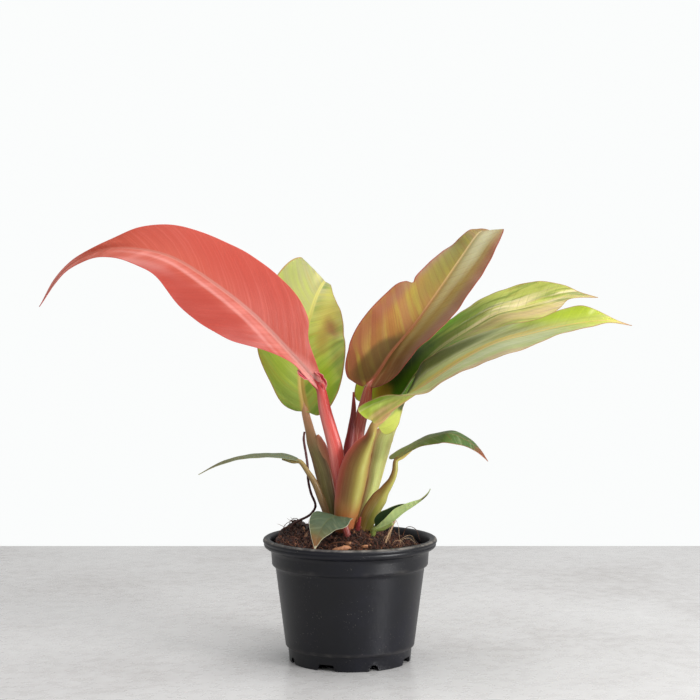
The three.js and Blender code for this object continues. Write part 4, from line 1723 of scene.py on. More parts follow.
LIME_LEAF = LeafFinish(
    ground="0 #8ca444, 15 #98aa48, 35 #9ca84a, 55 #a0a05c, 75 #9c986a, 90 #949268, 100 #909072",
    rib="0 #c4a258, 25 #b49c4a, 40 #a8a046, 70 #c6be6a, 100 #c4be88",
    rib_half=(3.6, 0.7),
    margin="#a07a42",
    under="#a8a862",
    vein="#6f7a20",
    vein_strength=0.22,
    margin_width=1.3,
    streaks=(
        Streak("#5a7a20", 0.65, 9.0, 60.0, 0.42, 0.62, half=Half.RIGHT),
        Streak("#6c8c28", 0.55, 11.0, 50.0, 0.46, 0.7, end=70.0, half=Half.LEFT, shift=9.0),
        Streak("#a8ba34", 0.35, 6.0, 50.0, 0.5, 0.7, shift=5.0),
        Streak("#a88e38", 0.4, 5.0, 50.0, 0.5, 0.7, shift=2.0),
    ),
    patches=(
        Patch(74, -14, 30, 12, "#ac9a34", 0.75),
        Patch(65, -17, 10, 5, "#844620", 0.75, turn=30),
        Patch(54, -13, 16, 5, "#8c6c28", 0.6),
        Patch(100, 24, 40, 8, "#8a9050", 0.4),
        Patch(104, -9, 22, 5, "#b8b44c", 0.6),
        Patch(118, 6, 20, 4, "#cfc88c", 0.5, soft=0.6),
        Patch(20, -16, 20, 9, "#86a01a", 0.75, soft=0.6),
        Patch(38, 14, 22, 7, "#8ea22c", 0.5, soft=0.6),
    ),
    roughness=0.42,
    tint=(0.6, 0.9, 0.15),
)
BRONZE_LEAF = LeafFinish(
    ground="0 #82482c, 12 #905a2e, 30 #a06e30, 50 #9c7634, 70 #907e3a, 85 #907e4a, 100 #9c7a58",
    rib="0 #a45c42, 30 #b4764e, 60 #c0a268, 100 #cbbb90",
    rib_half=(2.2, 0.7),
    margin="#8c3a32",
    under="#a88460",
    vein="#7c4c26",
    vein_strength=0.3,
    margin_width=1.1,
    streaks=(
        Streak("#aa983a", 0.7, 6.0, 70.0, 0.46, 0.66, half=Half.LEFT),
        Streak("#94702a", 0.35, 9.0, 70.0, 0.46, 0.7, half=Half.LEFT, shift=6.0),
        Streak("#a4644a", 0.4, 11.0, 60.0, 0.46, 0.7, half=Half.LEFT, shift=11.0),
        Streak("#b4a070", 0.4, 60.0, 3.2, 0.46, 0.66, outer=24.0, half=Half.RIGHT),
        Streak("#86561e", 0.5, 60.0, 3.6, 0.48, 0.66, inner=7.0, half=Half.RIGHT, shift=4.0),
    ),
    patches=(
        Patch(42, 26, 70, 8, "#904e36", 0.75),
        Patch(112, 8, 50, 10, "#767230", 0.75),
        Patch(116, 17, 60, 5, "#8a6258", 0.75, turn=-6),
        Patch(158, 6, 18, 6, "#8c5c34", 0.7),
        # Painted shadow: the next two spots are a dark wedge beside the midrib on the left half and its
        # continuation across on the right half, where a cast shadow falls.
        Patch(20, 4.5, 26, 10, "#5a461a", 0.82, turn=-15, soft=0.3),
        Patch(34, -16, 38, 15, "#54381c", 0.85),
        Patch(130, -8, 40, 7, "#c8c49e", 0.75),
        Patch(84, -6, 38, 5, "#b4aa78", 0.65),
        Patch(50, -8, 26, 5, "#8e8250", 0.6),
        Patch(118, -22, 50, 6, "#945a4a", 0.7),
        Patch(74, -17, 40, 8, "#8c7c40", 0.7),
        Patch(60, -25, 62, 8, "#7c584a", 0.8),
    ),
    roughness=0.4,
    tint=(1.0, 0.6, 0.2),
)
CREAM_LEAF = LeafFinish(
    ground="0 #4c7c04, 15 #547a0c, 30 #86a044, 50 #a8ae60, 70 #b4b85c, 88 #b4b460, 95 #c4b484, 100 #ccb898",
    rib="0 #8c9a50, 30 #b8b27a, 60 #d6c88c, 100 #c0ac78",
    rib_half=(1.5, 0.5),
    margin="#a07a48",
    under="#4a6420",
    vein="#56661e",
    vein_strength=0.25,
    streaks=(
        Streak("#dacaa2", 0.8, 40.0, 3.0, 0.48, 0.62, outer=16.0, start=60.0),
        Streak("#a8b040", 0.45, 34.0, 3.6, 0.5, 0.66, start=40.0, shift=5.0),
        Streak("#4c6a14", 0.6, 30.0, 4.0, 0.46, 0.64, start=20.0, shift=9.0),
        Streak("#9c7c40", 0.4, 36.0, 3.2, 0.5, 0.66, start=40.0, shift=14.0),
    ),
    patches=(
        Patch(-9, 26, 18, 13, "#cbdc48", 0.95, soft=0.6),
        Patch(-3, 13, 9, 6, "#d8b23e", 0.85, soft=0.6),
        # Painted shade: a near-black green over the shaded hollow at the base of the right half.
        Patch(12, -11, 28, 12, "#1c2406", 0.93, soft=0.6),
        Patch(34, -24, 26, 5, "#5c9c14", 0.9),
        # Painted shade: a near-black green over the shaded hollow at the base of the left half.
        Patch(20, 12, 32, 9, "#1c2806", 0.9),
        # Painted light: a bright lit green strip on the left half beyond the shaded hollow.
        Patch(58, 22, 22, 6, "#74ac24", 0.9, soft=0.8),
        Patch(118, 7, 24, 3.4, "#e2cea6", 0.6, turn=8),
        Patch(96, 2, 24, 2.0, "#dcc898", 0.5),
        Patch(62, 2, 30, 1.4, "#c8c088", 0.8),
        Patch(135, 14, 24, 8, "#949c3c", 0.75),
        Patch(78, 16, 30, 6, "#5c8416", 0.6),
        Patch(120, -12, 34, 8, "#d4b48c", 0.65),
        Patch(88, -13, 42, 10, "#b09a68", 0.6),
        Patch(56, 6, 26, 4, "#4c6818", 0.6),
    ),
    roughness=0.45,
    gloss=0.12,
    tint=(0.6, 0.9, 0.2),
)
SILVER_LEAF = LeafFinish(
    ground="0 #98ac2c, 12 #9aa648, 25 #9ca262, 45 #a4aa74, 70 #a8ae76, 85 #acb652, 95 #c4c25c, 100 #e0c8a4",
    rib="0 #b48a5e, 30 #c6a46c, 60 #c8ac6c, 85 #c6b45e, 100 #d8c090",
    rib_half=(1.9, 0.7),
    margin="#a4795a",
    under="#d2de64",
    under_share=0.6,
    under_end=-0.08,
    vein="#7f8850",
    vein_strength=0.22,
    streaks=(
        Streak("#848e58", 0.45, 44.0, 2.6, 0.48, 0.64),
        Streak("#c4c096", 0.4, 50.0, 3.4, 0.5, 0.66, shift=5.0),
    ),
    patches=(
        # Painted shadow: the next two spots are dark bands on the left half where the variegated leaf's
        # shadow falls.
        Patch(58, 20, 48, 10, "#454c1c", 0.88, soft=0.6),
        Patch(28, 24, 16, 8, "#4c541e", 0.9, soft=0.8),
        Patch(112, 9, 34, 5, "#7c7a40", 0.6),
        Patch(100, -10, 56, 6, "#b0b692", 0.6),
        Patch(84, -23, 64, 3.5, "#bc9880", 0.6),
        Patch(84, 3, 70, 2.2, "#bc9a40", 0.7),
        Patch(150, 10, 26, 8, "#a2b41e", 0.92),
        Patch(134, 14, 22, 5, "#98aa28", 0.8),
        Patch(166, -2, 12, 6, "#b8bc50", 0.7),
        # Painted glint: a small pale highlight near the tip.
        Patch(166, 8, 3.5, 1.6, "#e0e49c", 0.4, turn=40),
        Patch(2, 18, 13, 12, "#c2c85e", 0.95, soft=0.4),
        # Painted shade: darkens the left half just beyond the pale flap.
        Patch(25, 18, 13, 12, "#404a1a", 0.94, soft=0.2),
        # Painted highlight: a pale spot in the middle of the right basal lobe.
        Patch(12, -11, 8, 3, "#c8dc70", 0.6),
        Patch(14, -19, 14, 5, "#6c9020", 0.75),
        Patch(8, -4, 16, 4, "#b89468", 0.8),
    ),
    roughness=0.46,
    gloss=0.16,
    tint=(0.7, 0.9, 0.3),
)
YOUNG_LEAF = LeafFinish(
    ground="0 #8a9460, 20 #7c8a54, 40 #6c7c3c, 60 #587236, 80 #4c6634, 92 #5a5636, 100 #80402c",
    rib="0 #a8965c, 50 #8a8650, 100 #8a5438",
    rib_half=(1.0, 0.4),
    margin="#9a6048",
    under="#7b8558",
    vein="#37452a",
    vein_strength=0.35,
    margin_width=0.5,
    streaks=(Streak("#8e9c70", 0.45, 2.6, 30.0, 0.5, 0.68), Streak("#7c5434", 0.5, 2.2, 22.0, 0.58, 0.72)),
    patches=(Patch(70, 0, 7, 8, "#84402c", 0.8, soft=0.6), Patch(4, 4, 14, 10, "#9cac6c", 0.6, soft=0.6)),
    roughness=0.4,
)
FOLDED_LEAF = LeafFinish(
    ground="0 #2c4420, 50 #2f4a24, 70 #3c4a2c, 80 #4a2a30, 100 #38141f",
    rib="0 #5c7038, 60 #56603a, 85 #38141f, 100 #38141f",
    rib_half=(0.9, 0.4),
    margin="#a8b470",
    under="#bccf88",
    vein="#5f7434",
    margin_width=0.5,
    roughness=0.4,
)
EDGEWISE_LEAF = LeafFinish(
    ground="0 #5e684a, 30 #626c4c, 60 #6a6e48, 90 #6c6844, 100 #584a30",
    rib="0 #8a8450, 100 #7d6c3c",
    rib_half=(0.9, 0.4),
    margin="#8c8c64",
    under="#5c6040",
    vein="#4c5228",
    margin_width=0.5,
)
GREY_LEAF = LeafFinish(
    ground="0 #56604a, 35 #4a5a42, 60 #4c5840, 80 #5e5c38, 100 #7c5430",
    rib="0 #5a6448, 60 #56603f, 100 #7c5a3c",
    rib_half=(1.0, 0.4),
    margin="#b4b298",
    under="#7a7c5c",
    vein="#35402c",
    margin_width=0.4,
    streaks=(Streak("#70785a", 0.45, 3.0, 14.0, 0.5, 0.7),),
    patches=(Patch(38, 0, 6, 8, "#7a5430", 0.6, soft=0.6),),
    roughness=0.45,
)
FRILL_LEAF = LeafFinish(
    ground="0 #b8444a, 50 #a82f3a, 100 #8f2430",
    rib="0 #d88a86, 100 #b8505a",
    rib_half=(0.7, 0.4),
    margin="#d68a84",
    under="#c85c5c",
    vein="#8a2830",
    margin_width=0.5,
    roughness=0.36,
)

# What the juvenile blades have in common.
SMALL: dict[str, float] = {
    "roll": -5.0, "rows": 84, "columns": 14, "keel": 0.9, "keel_width": 2.6, "groove": 0.15, "pleat": 0.07,
    "spacing": 4.0, "ripple": 0.15, "ripples": 3.0,
}

# The leaf blades, and the two scraps of old bract at the coral leaf's foot.
LEAVES: tuple[Blade, ...] = (
    Blade(
        "coral_ruffle", "coral_leaf", FRILL_LEAF,
        rib=((-24, -17.5, 199), (-20.5, -18.5, 195.5), (-17.6, -18.6, 191.5), (-16.4, -17.6, 186.5)),
        faces=((0.5, -0.7, 0.5), (0.5, -0.8, 0.2), (0.6, -0.7, 0)),
        left=((0, 0.3), (3, 1.8), (6, 2.8), (9, 2.2), (12, 1.5), (15, 0)),
        right=((0, 0.3), (3, 1.2), (6, 1.8), (9, 1.6), (12, 1.0), (15, 0)),
        rise_left=(60, 40, 60, 30, 50),
        rise_right=(30, 50, 30, 50, 30),
        **(SMALL | {"ripple": 0.9, "ripples": 4.0, "keel": 0.5, "roll": 25.0}),
    ),
    Blade(
        "coral_frill", "coral_leaf", FRILL_LEAF,
        rib=((-35.5, -20.5, 200.5), (-33.5, -20.8, 197.8), (-30.5, -20.4, 195.2), (-27.5, -19.4, 193.5)),
        faces=((-0.3, -0.9, 0.2), (-0.2, -0.9, 0.1), (0, -0.9, 0)),
        left=((0, 0.2), (2, 0.9), (5, 1.4), (8, 0.9), (11, 0)),
        right=((0, 0.2), (2, 1.4), (5, 2.2), (8, 1.4), (11, 0)),
        rise_left=(20, 30, 20, 30, 20),
        rise_right=(50, 20, 50, 20, 50),
        **(SMALL | {"ripple": 0.6, "ripples": 4.0, "keel": 0.4, "roll": 20.0}),
    ),
    Blade(
        "coral_leaf", "coral_leaf", CORAL_LEAF,
        rib=(
            (-20, -14, 188), (-37, -22, 208), (-64, -31, 237), (-91, -38, 259), (-118, -43, 276),
            (-144, -46, 282), (-167, -46, 280), (-189, -44, 268), (-207, -38, 244),
        ),
        faces=((-0.1, -0.8, 0.55), (-0.1, -0.78, 0.6), (-0.5, -0.55, 0.6)),
        left=(
            (0, 3), (8, 4), (16, 4), (29, 5), (49, 14), (72, 26.5), (97, 31), (122, 27.6), (148, 19),
            (168, 13), (184, 9), (202, 5.4), (224, 3.4), (243, 0),
        ),
        right=(
            (0, 4), (8, 6), (16, 9), (31, 16), (42, 26), (62, 32), (90, 33), (119, 28.8), (141, 23.8),
            (160, 17), (182, 6), (207, 2.6), (226, 2.2), (243, 0),
        ),
        rise_left=(20, 10, 5, 15, 20),
        rise_right=(20, 10, 8, 15, 20),
        spacing=8.0,
        slant=1.0,
        seed=2,
    ),
    Blade(
        "lime_leaf", "lime_leaf", LIME_LEAF,
        rib=(
            (-31, 10, 170), (-34, 11, 188), (-34, 14, 205), (-32, 20, 223), (-28, 28, 237), (-24, 40, 250),
            (-19.5, 54, 259), (-18, 68, 259), (-20, 92, 246),
        ),
        faces=((0, -1, 0), (0, -0.95, 0.3), (0.1, -0.2, 0.95)),
        left=(
            (0, 2), (2, 8), (8, 15), (20, 21), (39, 31), (59, 33), (80, 33), (100, 29.5), (118, 21),
            (136, 10), (150, 0),
        ),
        right=(
            (0, 2), (-3, 5), (-4, 10), (2, 20), (16, 28), (43, 30.5), (66, 26.2), (84, 19.4), (98, 12.2),
            (112, 5.6), (129, 3), (150, 0),
        ),
        rise_left=(15, 12, 15, 38, 52),
        rise_right=(15, 10, -3, -20, -40),
        seed=3,
    ),
    Blade(
        "bronze_leaf", "bronze_leaf", BRONZE_LEAF,
        rib=(
            (13, 2, 188), (21, 2, 199), (29, 4, 211), (45, 9, 230), (61, 17, 252), (78, 28, 276),
            (91, 40, 293.6), (98, 52, 296.5), (108, 64, 295),
        ),
        faces=((0, -0.95, 0.3), (0, -0.9, 0.4), (-0.3, -0.6, 0.7)),
        left=(
            (0, 2), (-3, 4), (-4, 11), (-3, 17), (6, 24), (27, 30), (45, 31), (60, 29.7), (71, 27.3),
            (77, 23), (79, 18.5), (85, 19.3), (104, 17.2), (126, 13.2), (143, 8.4), (153, 5.4), (161, 3),
            (169, 0),
        ),
        right=(
            (0, 2), (1, 5), (8, 13), (14, 18), (24, 23), (37, 25), (50, 29.7), (66, 29), (84, 27),
            (96, 26.5), (108, 25.3), (125, 23.5), (140, 20), (152, 13), (162, 7), (169, 0),
        ),
        rise_left=(10, 12, 8, -12, 25),
        rise_right=(45, 56, 40, 22, 6),
        pleat=0.08,
        seed=5,
    ),
    Blade(
        "variegated_leaf", "variegated_leaf", CREAM_LEAF,
        rib=(
            (36, 16, 179), (46, 18, 195), (57, 20, 207), (68, 23, 216), (86, 28, 227), (104, 33, 237),
            (122, 38, 241), (140, 42, 246), (158, 45, 250), (178, 46, 249),
        ),
        faces=((-0.2, -0.8, 0.6), (0, -0.5, 0.85), (0.1, -0.5, 0.85)),
        left=(
            (0, 3), (-8, 8), (-15, 18), (-17, 28), (-6, 34), (14, 35), (38, 30), (63, 24), (84, 26),
            (107, 27), (122, 25), (136, 20), (147, 12), (157, 4), (170, 0),
        ),
        right=(
            (0, 3), (-4, 8), (-6, 15), (2, 19), (16, 22), (36, 26), (64, 28), (78, 28), (90, 27.5),
            (104, 26), (115, 24.5), (125, 21.5), (137, 14), (150, 5), (170, 0),
        ),
        rise_left=(15, -12, -5, 12, 25),
        rise_right=(70, 50, 20, 10, 10),
        seed=7,
    ),
    Blade(
        "silver_leaf", "silver_leaf", SILVER_LEAF,
        rib=(
            (17, -20, 165), (31, -25, 177), (54, -31, 193), (76, -36, 208), (97, -40, 219), (119, -43, 225),
            (139, -45, 230), (156, -46, 233), (171, -46, 234), (187, -45, 231),
        ),
        faces=((-0.3, -0.6, 0.7), (-0.1, -0.38, 0.92), (0, -0.4, 0.9)),
        left=(
            (0, 3), (-3, 9), (-5, 21), (4, 24), (16, 22), (38, 24), (56, 26), (71, 29), (89, 28),
            (104, 23.5), (117, 17), (129, 12.5), (146, 15), (160, 14), (177, 3), (191, 0),
        ),
        right=(
            (0, 3), (-2, 8), (0, 18), (12, 20.5), (26, 24), (40, 25), (58, 24), (73, 24), (86, 25),
            (108, 26.5), (131, 18), (150, 12), (167, 7.2), (179, 2.6), (191, 0),
        ),
        rise_left=(-70, 5, 0, 25, 45),
        rise_right=(95, 25, 8, 8, 5),
        spacing=7.5,
        seed=11,
    ),
    Blade(
        "small_right_leaf", "juvenile_leaf", YOUNG_LEAF,
        rib=(
            (32, -8, 139), (40, -10, 145.6), (49, -13, 151.4), (60, -16, 155.4), (68, -19, 157),
            (79, -21, 152.6), (87, -23, 146), (93, -24, 139),
        ),
        faces=((-0.5, -0.4, 0.8), (0, -0.5, 0.9), (0.5, -0.4, 0.7)),
        left=(
            (0, 2), (-5, 5), (-5, 9.5), (2, 9), (14, 8), (28, 10), (38, 12), (48, 9), (58, 7), (67, 3),
            (75, 0),
        ),
        right=(
            (0, 2), (3, 3), (7, 5), (12, 7), (20, 9), (31, 11), (42, 12), (52, 9), (62, 5), (70, 2),
            (75, 0),
        ),
        rise_left=(0, -15, -20, -15, 0),
        rise_right=(10, 15, 5, 0, 10),
        **SMALL,
    ),
    Blade(
        "small_low_leaf", "juvenile_leaf", FOLDED_LEAF,
        rib=(
            (18, -14, 92), (28, -18, 97), (36, -22, 104), (43, -25, 109), (48, -28, 113), (52, -30, 117),
            (54, -31, 121),
        ),
        faces=((-0.4, -0.3, 0.85), (-0.4, -0.3, 0.85), (-0.4, -0.3, 0.85)),
        left=((0, 2), (2, 7), (8, 9.5), (17, 8.5), (24, 6), (30, 3), (37, 1.2), (45, 0.8), (50, 0)),
        right=((0, 2), (5, 5), (12, 7.5), (20, 8), (28, 6.5), (34, 4.2), (39, 1.6), (45, 0.8), (50, 0)),
        rise_left=(80, 78, 70, 58, 50),
        rise_right=(48, 60, 66, 66, 62),
        **(SMALL | {"roll": -8.0}),
    ),
    Blade(
        "small_left_leaf", "juvenile_leaf", EDGEWISE_LEAF,
        rib=(
            (-35, -4, 137), (-45, -6, 140), (-60, -9, 141), (-75, -12, 140), (-89, -15, 136),
            (-103, -18, 129),
        ),
        faces=((0.2, -0.1, 1), (0, 0, 1), (-0.3, -0.1, 0.95)),
        left=((0, 2), (3, 6), (10, 10), (22, 11), (34, 9), (46, 6), (58, 3), (72, 0)),
        right=((0, 2), (1, 6), (8, 9), (20, 9), (32, 8), (46, 5), (58, 3), (72, 0)),
        rise_left=(5, 5, 0, -5, 5),
        rise_right=(5, 5, 5, 5, 5),
        **SMALL,
    ),
    Blade(
        "small_front_leaf", "juvenile_leaf", GREY_LEAF,
        rib=(
            (-5, -18, 97.5), (-8, -22, 101), (-12.5, -27, 101), (-17, -33, 97.8), (-20.5, -39, 92),
            (-22.6, -44.5, 85.4),
        ),
        faces=((0, 0.1, 1), (-0.1, -0.6, 0.8), (-0.2, -0.95, 0.3)),
        left=((0, 3), (4, 11), (12, 15), (19, 14), (24, 10), (29, 7), (35, 3), (43, 0)),
        right=((0, 3), (2, 11), (10, 14), (20, 12), (26, 9), (31, 6), (37, 3), (43, 0)),
        rise_left=(5, 5, 5, 5, 5),
        rise_right=(5, 5, 5, 5, 5),
        **(SMALL | {"roll": -8.0}),
    ),
)
BLADES: dict[str, Blade] = {blade.name: blade for blade in LEAVES}

# The finishes of the stalks, bracts and roots.
SILVER_STALK = StalkFinish(
    along="0 #c49a70, 12 #bc9460, 30 #9c883c, 60 #947c34, 85 #a0603a, 100 #8c3c2c",
    # Across the sheath: its own red, brown and olive bands, with the paler band near 82 % a painted highlight
    # along the ridge.
    across=(
        "0 #b4544c, 10 #98402e, 26 #703e20, 44 #6a4a20, 58 #7e6a2e, "
        "72 #989042, 82 #a8a254, 92 #9a8640, 100 #8c6634"
    ),
    streak="#cabf7a",
    streak_strength=0.04,
    sheath_from=0.16,
    sheath_to=0.76,
)
CORAL_STALK = StalkFinish(
    along="0 #c04a44, 12 #a82a2e, 30 #cc4444, 50 #d04c44, 70 #a83830, 85 #7c2c26, 100 #5a2c20",
    # Painted light across the sheath: the paler pink near 20 % on the left is a painted highlight, and the
    # darkening red towards 100 % on the right is painted shade.
    across="0 #cc6058, 20 #d6867c, 36 #cc685e, 60 #c44840, 85 #b03830, 100 #98302c",
    streak="#e8988e",
    streak_strength=0.25,
    sheath_from=0.16,
    sheath_to=0.62,
    strength=0.75,
)
BRONZE_STALK = StalkFinish(
    along="0 #b45c42, 20 #a44c36, 40 #963e32, 60 #8c3834, 100 #4a1c1a",
    streak="#dcae9c",
    streak_strength=0.4,
)
LIME_STALK = StalkFinish(
    along="0 #c49a6c, 20 #bc8a66, 40 #86704a, 70 #5c5230, 100 #4a3422",
    across="0 #6c4030, 14 #6a5a34, 40 #77703e, 65 #6a6038, 85 #5c4a2e, 100 #7c4034",
    streak="#a89868",
    sheath_from=0.35,
)
CREAM_STALK = StalkFinish(
    along="0 #33480f, 12 #3c5414, 17 #c2d064, 30 #c6cc80, 50 #b4b66c, 75 #a09a50, 100 #74603a",
    across="0 #ac6e4c, 14 #a87e50, 30 #a8a260, 42 #b0b268, 70 #bcc470, 100 #aca25a",
    streak="#d8d8a0",
    streak_strength=0.25,
    sheath_from=0.18,
)
WING = StalkFinish(
    along="0 #b07a5c, 30 #a06048, 60 #8a4a38, 100 #5a3426",
    across="0 #b08a62, 50 #a0694a, 100 #84382e",
    streak="#c09a78",
)
OLIVE_STALK = StalkFinish(
    along="0 #c4b060, 30 #c4b05c, 50 #a89c40, 80 #8c702c, 100 #6a4020",
    across="0 #7c4c2c, 14 #86602c, 50 #80722e, 80 #a8a44c, 100 #909044",
)
BROWN_STALK = StalkFinish(
    along="0 #7f7640, 30 #8b7544, 60 #7a6038, 85 #664b2d, 100 #4a3422",
)
GREEN_STALK = StalkFinish(along="0 #8c9c54, 60 #7c8a44, 100 #55502c")
BRACT = StalkFinish(
    along="0 #84201f, 20 #6c181a, 60 #5a1416, 100 #3a1010",
    across="0 #84201f, 30 #5c1216, 70 #661618, 100 #8a4642",
    streak="#8f6258",
    streak_strength=0.35,
    roughness=0.42,
    sheath_from=0.05,
)
SHRED = StalkFinish(
    along="0 #8c2c2c, 50 #7c2426, 100 #4c1c18", streak="#a85c54", streak_strength=0.4, roughness=0.5
)
AIR_ROOT = StalkFinish(
    along="0 #5a2c2c, 40 #4a2226, 80 #3e2020, 100 #3a241c",
    streak="#8a5a50",
    roughness=0.55,
    glow=0.02,
)
SOIL_ROOT = StalkFinish(
    along="0 #a08060, 50 #b0906e, 100 #8a6a4c",
    streak="#8a6a4c",
    roughness=0.6,
    glow=0.05,
)
PALE_THREAD = StalkFinish(
    along="0 #a8886a, 50 #c0a080, 100 #947250", streak="#8a6a4c", roughness=0.6, glow=0.05,
)
DARK_THREAD = StalkFinish(
    along="0 #3a2018, 50 #57321f, 100 #3a2018", streak="#8a5a38", roughness=0.65, glow=0.02,
)

# The stalks, bracts and roots. Each path is a row of places with the width there.
STALKS: tuple[Stalk, ...] = (
    Stalk(
        "silver_stalk", "silver_stalk", SILVER_STALK,
        ((16.7, -19.6, 163, 5.6), (13.6, -19.5, 154.7, 7.5), (8.5, -19, 146.5, 14), (5.1, -18.5, 139, 18),
         (2.4, -18, 130, 20), (0.3, -17, 120, 20), (-1.4, -16, 109.5, 18.5), (-2.7, -15, 99.8, 16.5),
         (-3.4, -12, 86, 13), (-2, -9, 77, 9)),
        5.6, 3.0, ridge=-0.5, wing=0.6, sides=64, leaf=BLADES["silver_leaf"],
    ),
    Stalk(
        "coral_stalk", "coral_stalk", CORAL_STALK,
        ((-19.9, -13.6, 186.8, 6.6), (-17.1, -11, 172.4, 8.6), (-13.4, -9, 158.6, 9.4),
         (-10.3, -8, 146.8, 10.3), (-8.2, -7, 134.4, 10.3), (-6.2, -6, 120.5, 9.6), (-4.8, -5, 106.7, 8.9),
         (-4, -4, 89.3, 8.3), (-3, -3, 79, 6)),
        6.4, leaf=BLADES["coral_leaf"],
    ),
    Stalk(
        "small_right_stalk", "juvenile_stalk", OLIVE_STALK,
        ((31.6, -8, 137.6, 3.4), (30.7, -8, 130.4, 4.1), (28.5, -8, 124.2, 4.8), (24, -8.5, 117.4, 7),
         (19.9, -9, 111.3, 11), (15.8, -9, 105, 11.6), (12.7, -9, 99, 11.6), (9.3, -8, 89, 10),
         (6, -6, 79, 6)),
        4.4, 1.0, wing=0.7, leaf=BLADES["small_right_leaf"],
    ),
    Stalk(
        "small_left_stalk", "juvenile_stalk", BROWN_STALK,
        ((-34.2, -4, 136.2, 3.2), (-29, -4, 129.2, 3.6), (-24.1, -4, 121.2, 4.5), (-19.6, -4, 110.2, 5.2),
         (-15.8, -4, 99.6, 4.8), (-13, -3, 87.8, 4.6), (-9, -2, 79, 4)),
        3.6, leaf=BLADES["small_left_leaf"],
    ),
    Stalk(
        "small_low_stalk", "juvenile_stalk", GREEN_STALK,
        ((17, -13.5, 91.3, 3.8), (15.5, -12, 88, 4), (12.6, -8, 82, 4), (9.5, -5, 78, 4)),
        3.4, leaf=BLADES["small_low_leaf"],
    ),
    Stalk(
        "small_front_stalk", "juvenile_stalk", BRONZE_STALK,
        ((-4.6, -18.6, 96.6, 4.4), (-3, -18.6, 92, 4.8), (-1, -17.5, 85, 4.8), (0, -14, 78, 4)),
        3.0, leaf=BLADES["small_front_leaf"],
    ),
    Stalk(
        "bract", "cataphyll_tissue", BRACT,
        ((2.4, 0, 184, 1.2), (2.5, 1, 171.5, 3.5), (1, 1.6, 157.6, 5.5), (-1, 1.6, 145.2, 6.9),
         (-2.1, 1.4, 131.3, 6.9), (-2.4, 1, 112, 6.2), (-1, 0.6, 94, 5.4), (0, 0, 80, 4)),
        1.8, 0.8,
    ),
    Stalk(
        "bronze_stalk", "bronze_stalk", BRONZE_STALK,
        ((12.8, 2.1, 186.6, 6), (10.7, 3, 176.2, 8.3), (7.3, 4.4, 164.4, 8.7), (5.2, 5.6, 152.5, 8.7),
         (3.5, 6.2, 139.9, 8.3), (1.7, 6.4, 122.5, 8.3), (0.7, 6, 105.2, 8.3), (0, 4.6, 90, 7.6),
         (0.5, 2, 79, 6)),
        6.0, leaf=BLADES["bronze_leaf"],
    ),
    Stalk(
        "lime_stalk", "lime_stalk", LIME_STALK,
        ((-30.8, 9.8, 168, 5.4), (-28, 9, 157, 6.4), (-25.7, 8, 148, 8.3), (-22.6, 7, 139.8, 9.4),
         (-19.1, 6, 129.5, 11), (-16.6, 5, 119.2, 11), (-14.2, 4, 108.9, 9.7), (-11.8, 3, 98.7, 8.3),
         (-9.5, 2, 88.4, 7), (-6.5, 1, 79, 5)),
        5.0, -1.5, wing=0.7, leaf=BLADES["lime_leaf"],
    ),
    Stalk(
        "variegated_stalk", "variegated_stalk", CREAM_STALK,
        ((35.3, 15.7, 177, 5.6), (33.2, 15, 169.1, 6.3), (29.3, 14, 160.7, 8.4), (23.4, 13, 151.7, 14),
         (20.8, 12, 142.8, 13.6), (18.4, 11, 132.4, 12.2), (15.6, 10, 118.6, 10), (11.5, 8, 105.6, 8.3),
         (7.8, 5.4, 90, 7.6), (5, 2, 79, 5)),
        5.4, -1.0, wing=0.7, leaf=BLADES["variegated_leaf"],
    ),
    Stalk(
        "lime_wing", "lime_stalk", WING,
        ((-22.4, 6.5, 154, 1.6), (-21.6, 6.4, 151, 4.6), (-19.4, 6, 145, 7), (-16.8, 5.4, 136, 7.6),
         (-14, 4.6, 124, 7), (-11.5, 3.6, 108, 5)),
        1.8,
    ),
    Stalk(
        "bract_shred", "shred_tissue", SHRED,
        ((7.2, -15.4, 100, 1.2), (6.3, -15, 97, 2.6), (5.2, -14.2, 92.6, 3.4), (4, -12, 84, 3.4)),
        1.6, 0.6,
    ),
    Stalk(
        "air_root", "aerial_root_bark", AIR_ROOT,
        ((-31.6, 5, 156, 1.4), (-32, 3, 150.6, 1.7), (-30.3, 1, 140.4, 1.7), (-29.2, 0, 132.2, 1.7),
         (-28.9, 0, 123.3, 1.7), (-27, 2, 114, 1.7), (-24.2, 4, 106.8, 1.7), (-24.6, 6, 102.4, 1.7),
         (-28.5, 9, 97.5, 1.7), (-34.9, 12, 93.8, 1.7), (-39.8, 14, 90.6, 1.7), (-44, 15, 83, 1.7)),
        1.7, sides=12, knobs=0.09,
    ),
    Stalk(
        "soil_root", "pale_root_bark", SOIL_ROOT,
        ((26, 6, 78, 1.2), (29, 3, 90, 1.2), (31, -2, 96, 1.2), (29, -8, 92, 1.2), (26, -14, 87, 1.2),
         (24, -19, 82, 1.2), (22, -22, 74, 1.2)),
        1.2, sides=10, knobs=0.12,
    ),
)

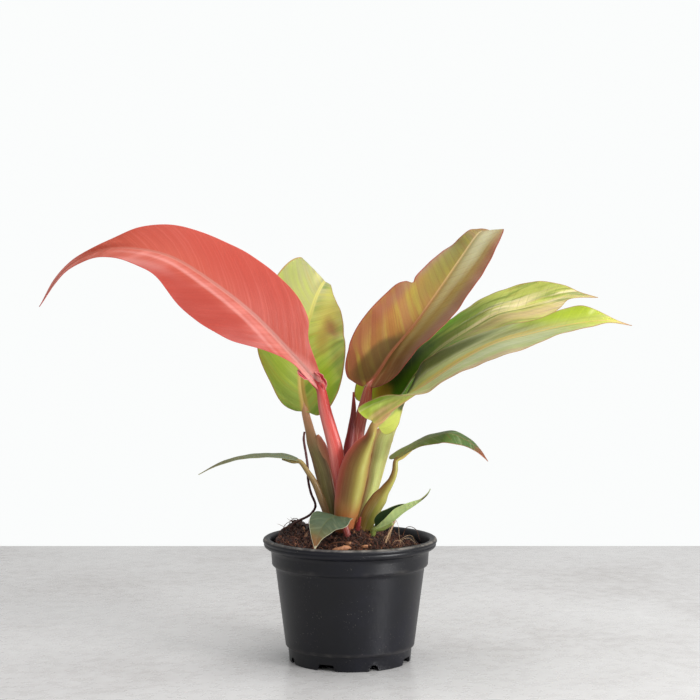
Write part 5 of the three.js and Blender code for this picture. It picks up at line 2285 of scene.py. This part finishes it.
# The pale loose roots on the right, and the dark fibres at the sides and the front.
THREADS: tuple[Threads, ...] = (
    Threads(
        "root_threads", "pale_root_bark", PALE_THREAD,
        (
            ((24, -16, 80), (27, -15, 92), (31, -13, 97), (33, -14, 93), (34, -16, 84), (37, -19, 78)),
            ((33, -21, 79), (35, -20, 84.5), (39, -19, 86), (43, -20, 84), (45, -21, 79)),
            ((22, -27, 79), (25, -26, 88), (29, -24, 95), (32, -22, 99)),
            ((27, -27, 79), (30, -27, 85), (35, -27, 85), (39, -28, 79)),
            ((21, -22, 80), (24, -23, 88), (26, -24, 86), (29, -26, 78)),
            ((30, -11, 79), (36, -12, 85), (42, -11, 86.5), (46, -12, 79)),
        ),
        0.13,
    ),
    Threads(
        "dark_fibres", "potting_mix", DARK_THREAD,
        (
            ((-49, 14, 80), (-46, 18, 89), (-41, 20, 92), (-36, 20, 91), (-30, 16, 84)),
            ((-50, 8, 80), (-49, 11, 86), (-44, 14, 89), (-38, 15, 88), (-33, 14, 82)),
            ((-46, 22, 82), (-42, 25, 91), (-38, 26, 93), (-31, 25, 88)),
            ((-30, -30, 80), (-34, -31, 87), (-40, -29, 88), (-45, -24, 80)),
            ((36, 20, 80), (40, 18, 88), (46, 14, 87), (49, 10, 79)),
            ((-18, -40, 80), (-12, -42, 86), (-2, -42, 86.5), (4, -40, 81)),
        ),
        0.24,
    ),
)

# The loose bits on the soil.
CRUMB = CrumbFinish("0 #100604, 40 #2c1209, 75 #421f14, 100 #342014")
BARK = CrumbFinish("0 #200d08, 50 #4c2614, 80 #6e3e26, 100 #a07854", 0.6)
COIR = CrumbFinish("0 #3c180c, 50 #643524, 100 #9a6448", 0.7)
LITTER: tuple[Scatter, ...] = (
    Scatter("crumbs", CRUMB, 300000.0, (0.5, 0.35, 0.3), (2.4, 1.3, 1.0), 1.4, 3),
    Scatter("bark_chips", BARK, 40000.0, (1.2, 0.5, 0.3), (4.8, 1.5, 1.0), 0.9, 8),
    Scatter("coir_fibres", COIR, 120000.0, (1.8, 1.4, 2.2), (6.2, 4.2, 3.8), 1.1, 5, arc=1.3),
)

# The CAD nodes of the pieces that go by another name here.
NODES: dict[str, str] = {
    "nursery_pot": "pot",
    "potting_mix": "soil",
    "short_stem": "stem",
    "bract": "cataphyll",
    "bract_shred": "cataphyll_shred",
    "air_root": "aerial_root",
    "soil_root": "pale_root",
}


def node_of(name: str) -> str:
    """Names the CAD node that a piece stands for.

    Args:
        name: The piece's name.

    Returns:
        The node's name.
    """
    return NODES.get(name, name.replace("_leaf", "_blade").replace("_stalk", "_petiole"))


def main() -> None:
    """Builds and dresses the whole plant in its studio, and logs each piece's points."""
    logging.basicConfig(level=logging.INFO, format="%(name)s: %(message)s")
    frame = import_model()
    log.info("the part has %d nodes", len(frame["nodes"]))
    studio = Studio()
    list(studio.build())
    soil = Soil()
    made = [(Pot().build(), "pot_plastic"), (soil.build(), "potting_mix"), (Stem().build(), "stem_tissue")]
    made += [(part.build(), part.slot) for part in (*LEAVES, *STALKS, *THREADS)]
    made += [(scatter.build(soil), "potting_mix") for scatter in LITTER]
    made.append((Chips().build(), "potting_mix"))
    for piece, slot in made:
        log.info("%s: %d points, slot %s", piece.name, len(piece.data.vertices), slot)
        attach(piece, BODY)
        if node_of(piece.name) in frame["nodes"]:
            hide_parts(node_of(piece.name))


if __name__ == "__main__":
    main()
